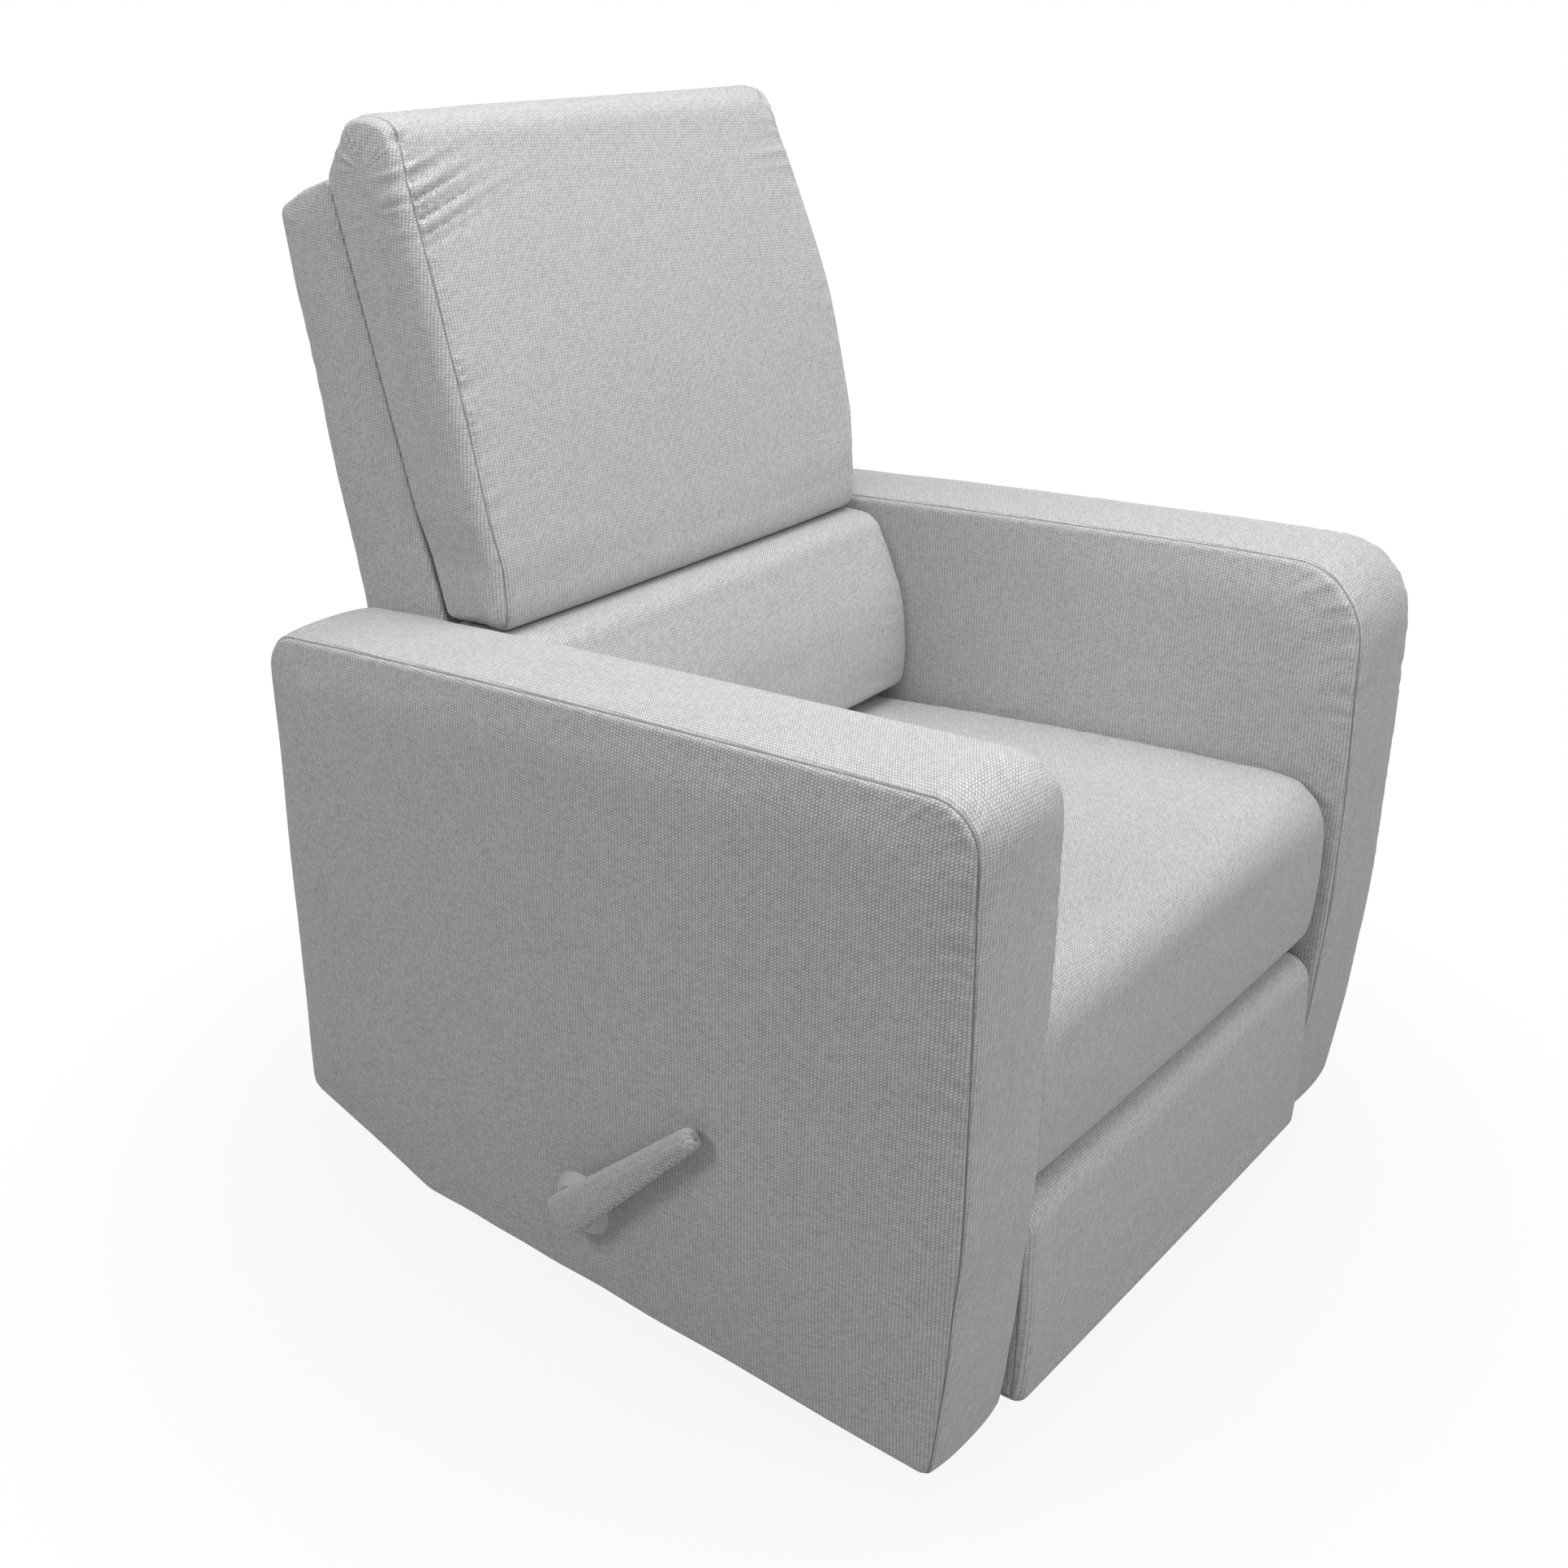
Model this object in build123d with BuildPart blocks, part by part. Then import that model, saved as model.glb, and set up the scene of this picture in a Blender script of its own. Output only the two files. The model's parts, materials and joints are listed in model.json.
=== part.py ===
from build123d import *
from math import atan2, cos, degrees, radians, sin
import os

# Swivel glider recliner armchair. Millimetres, +Z up, the sitter faces -Y and the
# sitter's right hand (the release lever) is on -X. The origin is the middle of the
# round floor base, on the floor.

# ---------------------------------------------------------------- overall sizes
chair_width = 760.0        # over both arms
arm_width = 107.0
arm_bottom = 38.0          # floor to the underside of the arms
fit_gap = 0.3              # between soft pieces and what they bear on

# ---------------------------------------------------------------- arm outline (y, z)
arm_front_foot = -409.0
arm_front_top = -437.0
arm_front_height = 646.0
arm_rear_top = 342.0
arm_rear_height = 605.0
arm_rear_foot = 362.0
arm_heel_height = 108.0    # top of the chamfer at the lower rear corner
arm_heel_start = 200.0
arm_heel_drop = 52.0
arm_front_swell = 8.0      # how far the front bows forward
arm_front_radius = 46.0
arm_rear_radius = 28.0
arm_edge_radius = 9.0
arm_padding = 16.0         # foam and cover round the timber
arm_rail = 45.0            # width of the timber rails inside the arm

# ---------------------------------------------------------------- seat
seat_side_gap = 7.0         # seat cushion to the arm
seat_front = -428.5
seat_front_bottom = 250.0
seat_front_thickness = 52.0
seat_front_height = 436.0
seat_rear_height = 397.0
seat_rear = 137.0
seat_nose_radius = 42.0
seat_crown = 12.0           # how far the top bows up from front to rear
seat_edge_radius = 12.0
notch_clearance = 4.0       # cushion corners cut back round the back brackets
seat_board_thickness = 24.0
seat_board_height = 38.0
seat_frame_front = -372.0
seat_frame_rear = 120.0
webbing_width = 50.0
webbing_thickness = 2.0
webbing_pitch = 88.0
webbing_count = 5
webbing_end = 2.0           # webbing short of the frame's edges

# ---------------------------------------------------------------- back
shell_side_gap = 9.0             # back to the arm
shell_waist_height = 430.0
shell_bottom = 248.0
shell_top = 992.0
shell_top_front = 327.0          # y of the shell's front face at its top
shell_top_rear = 410.0
shell_top_fall = 24.0            # the top slopes down to the rear by this much
shell_front_slope = 0.264        # rearward lean of the front face, per mm of height
shell_rear_slope = 0.176
shell_wall = 15.0
shell_corner_radius = 18.0
back_rail = 50.0                 # width of the timber rails in the back
back_board_thickness = 24.0
back_row_count = 2               # openings in the back frame, one above the other
back_strap_count = 6
bracket_arm_radius = 12.0
brace_rise = 70.0                # bracket's lower fixing above the recline pivot
brace_top_gap = 25.0             # its upper fixing below the waist's top
brace_depth = 40.0               # both behind the shell's front face
pillow_side_gap = 6.0            # pillow to the arm
pillow_front = 147.0
pillow_bottom = 608.0
pillow_top_front = 240.0
pillow_top = 1040.0
pillow_bulge = 12.0
pillow_rear_lean = 30.0          # the top's rear corner, forward of the shell's top edge
pillow_rear_radius = 18.0
pillow_edge_radius = 20.0
lumbar_front = 77.0
lumbar_seat_gap = 12.0           # above the rear of the seat cushion
lumbar_top = 606.0
lumbar_side_gap = 7.0
lumbar_swell = 2.0               # how far back the front bows at mid height
lumbar_lean = 40.0               # how far back the top of the front face is
lumbar_edge_radius = 16.0

# ---------------------------------------------------------------- footrest
footrest_front = -426.5
footrest_pad_thickness = 41.5
footrest_top = 240.7
footrest_side_gap = 11.0
footrest_pad_radius = 14.0
footrest_board_thickness = 12.0
footrest_board_gap = 5.0         # board to the control links beside it
footrest_board_inset = 9.0       # board edge below the pad's top edge
footrest_board_foot = 24.0       # board edge above the pad's bottom edge
bracket_flange = 44.0            # height of the bracket's flange on the board
bracket_reach = 40.0
bracket_drop = 4.0               # bracket's top below the board's
bracket_rim = 1.0                # bracket round its pivots, beyond the links' ends

# ---------------------------------------------------------------- flat steel and pins
plate_thickness = 4.0
link_thickness = 4.0
link_radius = 9.0
layer_gap = 2.0                  # washer between two links
plate_gap = 3.0                  # washer between the side plate and the first link
pin_radius = 4.0
pin_clearance = 0.15
rivet_head = 2.5                 # how far a rivet head stands out round its pin
rivet_head_thickness = 1.3
pin_end = 0.2                    # end play under a rivet head

# ---------------------------------------------------------------- footrest scissor linkage
scissor_link_length = 172.0      # between the end pivots of each long link
fold_angle = 12.0                # link angle to the stacking line, footrest closed
open_angle = 62.0                # the same, footrest fully out
scissor_slope = 5.0              # rise of the linkage as it runs forward
foot_clearance = 7.4             # lowest link end above the arm underside
pad_clearance = 6.6              # front link end behind the footrest pad
tilt_arm_length = 59.0           # on the footrest bracket, between its two pivots
tilt_link_length = 110.0         # control link that turns the footrest level
tilt_link_radius = 7.0
tilt_eye_clearance = 6.0         # the control link's open eye round its pin
tilt_eye_setback = 3.3           # the eye's centre from the pin, back along the link
tilt_eye_lead = 4.6              # the same, ahead of the link's line
tilt_eye_wall = 3.0

# ---------------------------------------------------------------- release lever
shaft_y = -29.0
shaft_z = 140.5
shaft_radius = 8.0
crank_radius = 34.0
crank_lead = 30.0                # crank ahead of upright, in degrees
hub_radius = 34.0                # beside the arm
hub_nose_radius = 22.0           # beside the lever
hub_length = 13.0
hub_clearance = 1.0
lever_angle = 46.4               # forward of upright, when the footrest is folded
lever_reach = 212.0              # shaft to the middle of the lever's round tip
lever_foot_radius = 20.0         # round the shaft
lever_tip_radius = 10.0
lever_thickness = 17.0
lever_core_thickness = 5.0
lever_core_inset = 6.0
bush_wall = 2.5
bush_flange = 1.5
crank_width = 22.0
cover_chamfer = 4.0

# ---------------------------------------------------------------- recline
recline_pivot_y = 150.0
recline_pivot_z = 262.0
recline_angle = 32.0
guide_drop = 40.0                # top of the guide pin's circle below the seat's rear
guide_pin_radius = 5.0
guide_clearance = 0.7
slide_pin_z = 286.0
slide_pin_front = -150.0
slide_pin_rear = 65.0
guide_wall = 18.0                # plate round the upright guide slot
guide_web_spread = 24.0          # the plate widens below the slot, on each side
slide_wall = 10.0                # plate above the slide slots
plate_toe_length = 18.0          # level run under the footrest linkage
plate_toe_rise = 40.0            # sloping run behind it
plate_rim = 6.0                  # plate round the linkage pivots and the rear tube
plate_toe_rim = 2.0              # the same, under the lowest pivot
plate_overhang = 8.0             # plate below the glide rail's flange
plate_corner = 7.0
seat_rail_height = 32.0
seat_rail_front = -345.0
seat_rail_toe = 10.0             # rail in front of its flange
seat_rail_radius = 6.0
pivot_lug = 14.0                 # rail round the recline pivot
pivot_lug_run = 16.0             # slope in front of it

# ---------------------------------------------------------------- glider and swivel base
ring_radius = 262.0
ring_width = 22.0
ring_height = 18.0
ring_chamfer = 2.5
strip_thickness = 3.0
cross_width = 40.0
strip_inset = 1.0                # strip's edges inside the ring's
swivel_plate = 160.0
swivel_plate_thickness = 4.0
swivel_plate_radius = 15.0
bearing_radius = 70.0
race_radius = 45.0
bearing_height = 12.0
bearing_gap = 0.3
bearing_chamfer = 1.5
glide_front = -110.0
glide_rear = 105.0
glide_top = 200.0
glide_link_length = 130.0
glide_link_radius = 12.0
glide_pin_radius = 6.0
stand_thickness = 4.0
stand_post = 30.0
stand_rail = 20.0
crossbar_width = 30.0
crossbar_radius = 3.0
crossbar_y = 55.0
glide_rail_thickness = 4.0
glide_rail_end = 4.0             # rail beyond the lower pivots' eyes, at each end
glide_rail_rise = 10.0           # rail above them
cross_tube_radius = 12.0
cross_tube_wall = 2.0
cross_tube_z = 110.0
front_tube_y = -200.0
rear_tube_y = 215.0
rear_rail_thickness = 22.0
rear_rail_height = 60.0
rear_rail_y = 312.0
bolt_row_front = -180.0
bolt_row_rear = 200.0
bolt_row_top = 250.0
bolt_step = 122.0                # lower bolts inside the upper ones
bolt_radius = 4.0
bolt_head_radius = 7.0
bolt_head_height = 3.0
bolt_depth = 20.0                # thread in the arm's timber

# ---------------------------------------------------------------- worked out from these
arm_outer = chair_width / 2
arm_inner = arm_outer - arm_width
plate_x = arm_inner - plate_thickness
outer_layer = plate_x - plate_gap - link_thickness
inner_layer = outer_layer - layer_gap - link_thickness
tilt_layer = inner_layer - layer_gap - link_thickness
bracket_layer = tilt_layer - layer_gap - link_thickness
glide_rail_x = bracket_layer - layer_gap - glide_rail_thickness
glide_link_x = glide_rail_x - layer_gap - link_thickness
stand_inner = glide_link_x - layer_gap - stand_thickness
seat_half_width = arm_inner - seat_side_gap
shell_half_width = arm_inner - shell_side_gap
shell_waist_half_width = bracket_layer
pillow_half_width = arm_inner - pillow_side_gap
lumbar_half_width = arm_inner - lumbar_side_gap
lumbar_bottom = seat_rear_height + lumbar_seat_gap
footrest_half_width = arm_inner - footrest_side_gap
footrest_board_half_width = tilt_layer - footrest_board_gap
guide_radius = seat_rear_height - guide_drop - recline_pivot_z
seat_travel = 2 * guide_radius * sin(radians(recline_angle / 2))
footrest_rear = footrest_front + footrest_pad_thickness
board_rear = footrest_rear + footrest_board_thickness
strip_top = strip_thickness
ring_top = strip_top + ring_height
bearing_bottom = ring_top + swivel_plate_thickness
stand_bottom = bearing_bottom + bearing_height + swivel_plate_thickness


def ahead(point, forward, up):
    """The point that lies so far along and across the scissor linkage's own axis."""
    slope = radians(scissor_slope)
    y = point[0] - forward * cos(slope) + up * sin(slope)
    z = point[1] + forward * sin(slope) + up * cos(slope)
    return y, z


def polar_point(centre, radius, degrees_forward):
    """The point at a radius from centre, turned forward from straight up."""
    turn = radians(degrees_forward)
    return centre[0] - radius * sin(turn), centre[1] + radius * cos(turn)


fold_height = scissor_link_length * cos(radians(fold_angle))
fold_step = scissor_link_length * sin(radians(fold_angle))
open_height = scissor_link_length * cos(radians(open_angle))

# pivots of the folded linkage, from the footrest back to the side plate
front_low = (footrest_rear + link_radius + pad_clearance, arm_bottom + link_radius + foot_clearance)
front_high = ahead(front_low, 0, fold_height)
middle_low = ahead(front_low, -fold_step, 0)
middle_high = ahead(front_high, -fold_step, 0)
plate_low = ahead(middle_low, -fold_step, 0)
plate_high = ahead(middle_high, -fold_step, 0)
plate_low_open = ahead(plate_high, 0, -open_height)
rear_cross = ahead(plate_high, fold_step / 2, -fold_height / 2)
front_cross = ahead(middle_high, fold_step / 2, -fold_height / 2)

# the third pivot of the footrest bracket, where the control link ends
tilt_sides = fold_height**2 + tilt_arm_length**2 - tilt_link_length**2
tilt_cosine = tilt_sides / (2 * fold_height * tilt_arm_length)
tilt_sine = (1 - tilt_cosine**2) ** 0.5
tilt_pivot = ahead(front_high, tilt_arm_length * tilt_sine, -tilt_arm_length * tilt_cosine)

shaft = (shaft_y, shaft_z)
crank_end = polar_point(shaft, crank_radius, crank_lead)
lug_end = polar_point(plate_high, crank_radius, crank_lead)

recline_pivot = (recline_pivot_y, recline_pivot_z)
guide_pin = polar_point(recline_pivot, guide_radius, recline_angle / 2)
front_pivots = [(glide_front, glide_top), (glide_front, glide_top - glide_link_length)]
rear_pivots = [(glide_rear, glide_top), (glide_rear, glide_top - glide_link_length)]
plate_bolts_at = [
    (bolt_row_front, bolt_row_top),
    (bolt_row_front + bolt_step, cross_tube_z),
    (bolt_row_rear - bolt_step, cross_tube_z),
    (bolt_row_rear, bolt_row_top),
]

os.makedirs("parts", exist_ok=True)


def save(part, name):
    part.label = name
    export_step(part, f"parts/{name}.step")


def save_pair(part, name, right_cut=None):
    """Writes the piece on the sitter's left, and its mirror image on the right."""
    save(part, f"{name}_left")
    with BuildPart() as other_hand:
        add(part)
        mirror(about=Plane.YZ, mode=Mode.REPLACE)
        if right_cut:
            add(right_cut, mode=Mode.SUBTRACT)
    save(other_hand.part, f"{name}_right")


def slot(start, end, radius, mode=Mode.ADD):
    """A slot in the sketch being built, from one centre to the other."""
    run = Vector(*end) - Vector(*start)
    with Locations((Vector(*start) + Vector(*end)) / 2):
        SlotCenterToCenter(run.length, 2 * radius, degrees(atan2(run.Y, run.X)), mode=mode)


def flat_link(x, pivots, radius, bores, bore_radius=pin_radius + pin_clearance):
    """A flat bar with round ends that runs through the pivots and is bored at some points."""
    with BuildPart() as bar:
        with BuildSketch(Plane.YZ.offset(x)):
            for start, end in zip(pivots, pivots[1:]):
                slot(start, end, radius)
            with Locations(*bores):
                Circle(bore_radius, mode=Mode.SUBTRACT)
        extrude(amount=link_thickness)
    return bar.part


def pin(centre, x_from, x_to, radius=pin_radius, headed=True):
    """A pin that stands out from x_from towards the chair's middle, or outwards if not headed."""
    with BuildPart() as stud:
        with BuildSketch(Plane.YZ.offset(x_from)):
            with Locations(centre):
                Circle(radius)
        extrude(amount=x_to - x_from)
        if headed:
            with BuildSketch(Plane.YZ.offset(x_to)):
                with Locations(centre):
                    Circle(radius + rivet_head)
            extrude(amount=rivet_head_thickness if x_to > x_from else -rivet_head_thickness)
    return stud.part


def shell_front_y(z):
    return shell_top_front - (shell_top - z) * shell_front_slope


def shell_rear_y(z):
    return shell_top_rear - (shell_top - z) * shell_rear_slope


# ---------------------------------------------------------------- floor ring and swivel
with BuildPart() as floor_strip:
    with BuildSketch():
        Circle(ring_radius + ring_width / 2 - strip_inset)
        Circle(ring_radius - ring_width / 2 + strip_inset, mode=Mode.SUBTRACT)
    extrude(amount=strip_thickness)
save(floor_strip.part, "floor_strip")

with BuildPart() as floor_ring:
    with BuildSketch(Plane.XY.offset(strip_top)):
        Circle(ring_radius + ring_width / 2)
        Circle(ring_radius - ring_width / 2, mode=Mode.SUBTRACT)
    extrude(amount=ring_height)
    chamfer(floor_ring.edges().filter_by(GeomType.CIRCLE).group_by(Axis.Z)[-1], ring_chamfer)
save(floor_ring.part, "floor_ring")

with BuildPart() as base_cross:
    with BuildSketch(Plane.XY.offset(strip_top)):
        Rectangle(2 * ring_radius, cross_width)
        Rectangle(cross_width, 2 * ring_radius)
        Circle(ring_radius - ring_width / 2, mode=Mode.INTERSECT)
    extrude(amount=ring_height)
save(base_cross.part, "base_cross")

with BuildPart() as swivel_lower_plate:
    with BuildSketch(Plane.XY.offset(ring_top)):
        RectangleRounded(swivel_plate, swivel_plate, swivel_plate_radius)
    extrude(amount=swivel_plate_thickness)
save(swivel_lower_plate.part, "swivel_lower_plate")

with BuildPart() as bearing_outer_race:
    with BuildSketch(Plane.XY.offset(bearing_bottom)):
        Circle(bearing_radius)
        Circle(race_radius, mode=Mode.SUBTRACT)
    extrude(amount=bearing_height - bearing_gap)
    chamfer(bearing_outer_race.edges().group_by(Axis.Z)[-1], bearing_chamfer)
save(bearing_outer_race.part, "bearing_outer_race")

with BuildPart() as bearing_inner_race:
    with BuildSketch(Plane.XY.offset(bearing_bottom + bearing_gap)):
        Circle(race_radius - bearing_gap)
        Circle(race_radius / 2, mode=Mode.SUBTRACT)
    extrude(amount=bearing_height - bearing_gap)
save(bearing_inner_race.part, "bearing_inner_race")

# ---------------------------------------------------------------- glider stand, on the turntable
with BuildPart() as swivel_upper_plate:
    with BuildSketch(Plane.XY.offset(bearing_bottom + bearing_height)):
        RectangleRounded(swivel_plate, swivel_plate, swivel_plate_radius)
    extrude(amount=swivel_plate_thickness)
save(swivel_upper_plate.part, "swivel_upper_plate")

with BuildPart() as glider_crossbars:
    with BuildSketch(Plane.XY.offset(stand_bottom)):
        with Locations((0, -crossbar_y), (0, crossbar_y)):
            Rectangle(2 * stand_inner, crossbar_width)
    extrude(amount=stand_rail)
    fillet(glider_crossbars.edges().filter_by(Axis.X), crossbar_radius)
save(glider_crossbars.part, "glider_crossbars")

with BuildPart() as glider_stand:
    with BuildSketch(Plane.YZ.offset(stand_inner)):
        for pivot in (front_pivots[0], rear_pivots[0]):
            with Locations(pivot):
                Circle(stand_post / 2)
            with Locations((pivot[0], (pivot[1] + stand_bottom) / 2)):
                Rectangle(stand_post, pivot[1] - stand_bottom)
        with Locations(((glide_front + glide_rear) / 2, stand_bottom + stand_rail / 2)):
            Rectangle(glide_rear - glide_front, stand_rail)
    extrude(amount=stand_thickness)
    for pivot in (front_pivots[0], rear_pivots[0]):
        add(pin(pivot, stand_inner, glide_link_x + link_thickness + pin_end, glide_pin_radius))
save_pair(glider_stand.part, "glider_stand")

for pivots, name in ((front_pivots, "front_glide_links"), (rear_pivots, "rear_glide_links")):
    with BuildPart() as glide_links:
        eye_radius = glide_pin_radius + pin_clearance
        add(flat_link(glide_link_x, pivots, glide_link_radius, pivots, eye_radius))
        mirror(about=Plane.YZ)
    save(glide_links.part, name)

# ---------------------------------------------------------------- glide rails, on the chair
glide_rail_middle = (glide_front + glide_rear) / 2
glide_rail_length = glide_rear - glide_front + 2 * (glide_link_radius + glide_rail_end)
glide_rail_top = glide_top - glide_link_length + glide_link_radius + glide_rail_rise
with BuildPart() as glide_rail:
    with BuildSketch(Plane.YZ.offset(glide_rail_x)):
        for pivot in (front_pivots[1], rear_pivots[1]):
            slot(pivot, (pivot[0], glide_rail_top), glide_link_radius)
        with Locations((glide_rail_middle, glide_rail_top - glide_link_radius)):
            Rectangle(glide_rail_length, 2 * glide_link_radius)
        with Locations((glide_rail_middle, glide_rail_top + glide_link_radius)):
            Rectangle(glide_rail_length, 2 * glide_link_radius, mode=Mode.SUBTRACT)
    extrude(amount=glide_rail_thickness)
    with BuildSketch(Plane.XY.offset(glide_rail_top)):
        with Locations(((glide_rail_x + plate_x) / 2, glide_rail_middle)):
            Rectangle(plate_x - glide_rail_x, glide_rail_length)
    extrude(amount=-glide_rail_thickness)
    for pivot in (front_pivots[1], rear_pivots[1]):
        add(pin(pivot, glide_rail_x, glide_link_x, glide_pin_radius, headed=False))
save_pair(glide_rail.part, "glide_rail")

# ---------------------------------------------------------------- side plates of the mechanism
plate_lower_edge = glide_rail_top - glide_rail_thickness - plate_overhang
plate_upper_edge = slide_pin_z + guide_pin_radius + slide_wall
plate_tail = rear_tube_y + cross_tube_radius + plate_rim
plate_nose = plate_low[0] - link_radius - plate_rim
plate_toe = plate_low[1] - link_radius - plate_toe_rim
plate_brow = plate_high[1] + link_radius + plate_rim
guide_top = recline_pivot_z + guide_radius
guide_slot_radius = guide_pin_radius + guide_clearance
with BuildPart() as side_plate:
    with BuildSketch(Plane.YZ.offset(plate_x)):
        with BuildLine():
            FilletPolyline(
                (plate_nose, plate_toe),
                (plate_low[0] + plate_toe_length, plate_toe),
                (plate_low[0] + plate_toe_length + plate_toe_rise, plate_lower_edge),
                (plate_tail, plate_lower_edge),
                (plate_tail, plate_upper_edge),
                (guide_pin[0] + guide_wall + guide_web_spread, plate_upper_edge),
                (guide_pin[0] + guide_wall, guide_top + guide_wall),
                (guide_pin[0] - guide_wall, guide_top + guide_wall),
                (guide_pin[0] - guide_wall - guide_web_spread, plate_upper_edge),
                (slide_pin_front - seat_travel - guide_wall, plate_upper_edge),
                (plate_high[0] + guide_wall, plate_brow),
                (plate_nose, plate_brow),
                radius=plate_corner,
                close=True,
            )
        make_face()
        for rest in (slide_pin_front, slide_pin_rear):
            slot((rest - seat_travel, slide_pin_z), (rest, slide_pin_z), guide_slot_radius, Mode.SUBTRACT)
        slot(guide_pin, (guide_pin[0], guide_top), guide_slot_radius, Mode.SUBTRACT)
        slot(plate_low, plate_low_open, pin_radius + pin_clearance, Mode.SUBTRACT)
        with Locations(*plate_bolts_at):
            Circle(bolt_radius + pin_clearance, mode=Mode.SUBTRACT)
        with Locations(shaft):
            Circle(shaft_radius + bush_wall, mode=Mode.SUBTRACT)
    extrude(amount=plate_thickness)
    add(pin(plate_high, plate_x, outer_layer - pin_end))
save_pair(side_plate.part, "side_plate")

with BuildPart() as cross_tubes:
    with BuildSketch(Plane.YZ.offset(-plate_x)):
        with Locations((front_tube_y, cross_tube_z), (rear_tube_y, cross_tube_z)):
            Circle(cross_tube_radius)
            Circle(cross_tube_radius - cross_tube_wall, mode=Mode.SUBTRACT)
    extrude(amount=2 * plate_x)
save(cross_tubes.part, "cross_tubes")

with BuildPart() as shaft_bushes:
    with BuildSketch(Plane.YZ.offset(plate_x)):
        with Locations(shaft):
            Circle(shaft_radius + bush_wall)
            Circle(shaft_radius + pin_clearance, mode=Mode.SUBTRACT)
    extrude(amount=plate_thickness)
    with BuildSketch(Plane.YZ.offset(plate_x)):
        with Locations(shaft):
            Circle(shaft_radius + 2 * bush_wall)
            Circle(shaft_radius + pin_clearance, mode=Mode.SUBTRACT)
    extrude(amount=-bush_flange)
    mirror(about=Plane.YZ)
save(shaft_bushes.part, "shaft_bushes")

with BuildPart() as plate_bolts:
    with BuildSketch(Plane.YZ.offset(plate_x)):
        with Locations(*plate_bolts_at):
            Circle(bolt_radius)
    extrude(amount=plate_thickness + arm_padding + bolt_depth)
    with BuildSketch(Plane.YZ.offset(plate_x)):
        with Locations(*plate_bolts_at):
            RegularPolygon(bolt_head_radius, 6)
    extrude(amount=-bolt_head_height)
    mirror(about=Plane.YZ)
save(plate_bolts.part, "plate_bolts")

# ---------------------------------------------------------------- arms
def arm_section(x, inset, width):
    """A slab of the arm's side outline, drawn in by inset all round."""
    front_foot = (arm_front_foot + inset, arm_bottom + inset)
    front_top = (arm_front_top + inset, arm_front_height - inset)
    rear_top = (arm_rear_top - inset, arm_rear_height - inset)
    swell_y = (arm_front_foot + arm_front_top) / 2 - arm_front_swell + inset
    swell_z = (arm_bottom + arm_front_height) / 2
    with BuildPart() as slab:
        with BuildSketch(Plane.YZ.offset(x)) as side:
            with BuildLine():
                ThreePointArc(front_foot, (swell_y, swell_z), front_top)
                Polyline(
                    front_top,
                    rear_top,
                    (arm_rear_foot - inset, arm_heel_height + inset / 2),
                    (arm_heel_start - inset / 2, arm_heel_drop + inset),
                    front_foot,
                )
            make_face()
            fillet(side.vertices().sort_by(Axis.Y)[-2], arm_rear_radius - inset)
            fillet(side.vertices().sort_by(Axis.Y)[-1], arm_front_radius - inset)
        extrude(amount=width)
    return slab.part


with BuildPart() as shaft_hole:
    with BuildSketch(Plane.YZ.offset(-arm_outer - arm_padding)):
        with Locations(shaft):
            Circle(shaft_radius + hub_clearance)
    extrude(amount=arm_width + 2 * arm_padding)

with BuildPart() as bolt_holes:
    with BuildSketch(Plane.YZ.offset(plate_x)):
        with Locations(*plate_bolts_at):
            Circle(bolt_radius + pin_clearance)
    extrude(amount=plate_thickness + arm_padding + bolt_depth + fit_gap)

arm_cavity = arm_section(arm_inner + arm_padding, arm_padding, arm_width - 2 * arm_padding)
with BuildPart() as arm_pad:
    add(arm_section(arm_inner, 0, arm_width))
    soft_edges = arm_pad.faces().filter_by(Axis.X).edges()
    fillet(soft_edges.filter_by(lambda edge: edge.center().Z > arm_heel_height), arm_edge_radius)
    add(arm_cavity, mode=Mode.SUBTRACT)
    with BuildSketch(Plane.XY.offset(arm_bottom)):
        with Locations(((arm_inner + arm_outer) / 2, (arm_front_foot + arm_heel_start) / 2)):
            Rectangle(arm_width - 2 * arm_padding, arm_heel_start - arm_front_foot - 4 * arm_padding)
    extrude(amount=2 * arm_padding, mode=Mode.SUBTRACT)
    add(bolt_holes.part, mode=Mode.SUBTRACT)
save_pair(arm_pad.part, "arm_pad", shaft_hole.part)

frame_inset = arm_padding + fit_gap
frame_x = arm_inner + frame_inset
frame_width = arm_width - 2 * frame_inset
window_front = arm_front_foot + frame_inset + arm_rail
window_rear = arm_rear_top - frame_inset - arm_rail
window_width = (window_rear - window_front - arm_rail) / 2
window_rows = (
    (arm_heel_height + arm_rail, plate_bolts_at[0][1] - arm_rail / 2),
    (plate_bolts_at[0][1] + arm_rail / 2, arm_rear_height - frame_inset - arm_rail),
)
with BuildPart() as arm_frame:
    add(arm_section(frame_x, frame_inset, frame_width))
    with BuildSketch(Plane.YZ.offset(frame_x)):
        for low, high in window_rows:
            with Locations((window_front, low), (window_rear - window_width, low)):
                Rectangle(window_width, high - low, align=(Align.MIN, Align.MIN))
    extrude(amount=frame_width, mode=Mode.SUBTRACT)
    add(bolt_holes.part, mode=Mode.SUBTRACT)
save_pair(arm_frame.part, "arm_frame", shaft_hole.part)

with BuildPart() as rear_rail:
    with BuildSketch(Plane.YZ.offset(-arm_inner)):
        with Locations((rear_rail_y, cross_tube_z)):
            Rectangle(rear_rail_thickness, rear_rail_height, align=(Align.CENTER, Align.MIN))
    extrude(amount=2 * arm_inner)
save(rear_rail.part, "rear_rail")

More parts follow.
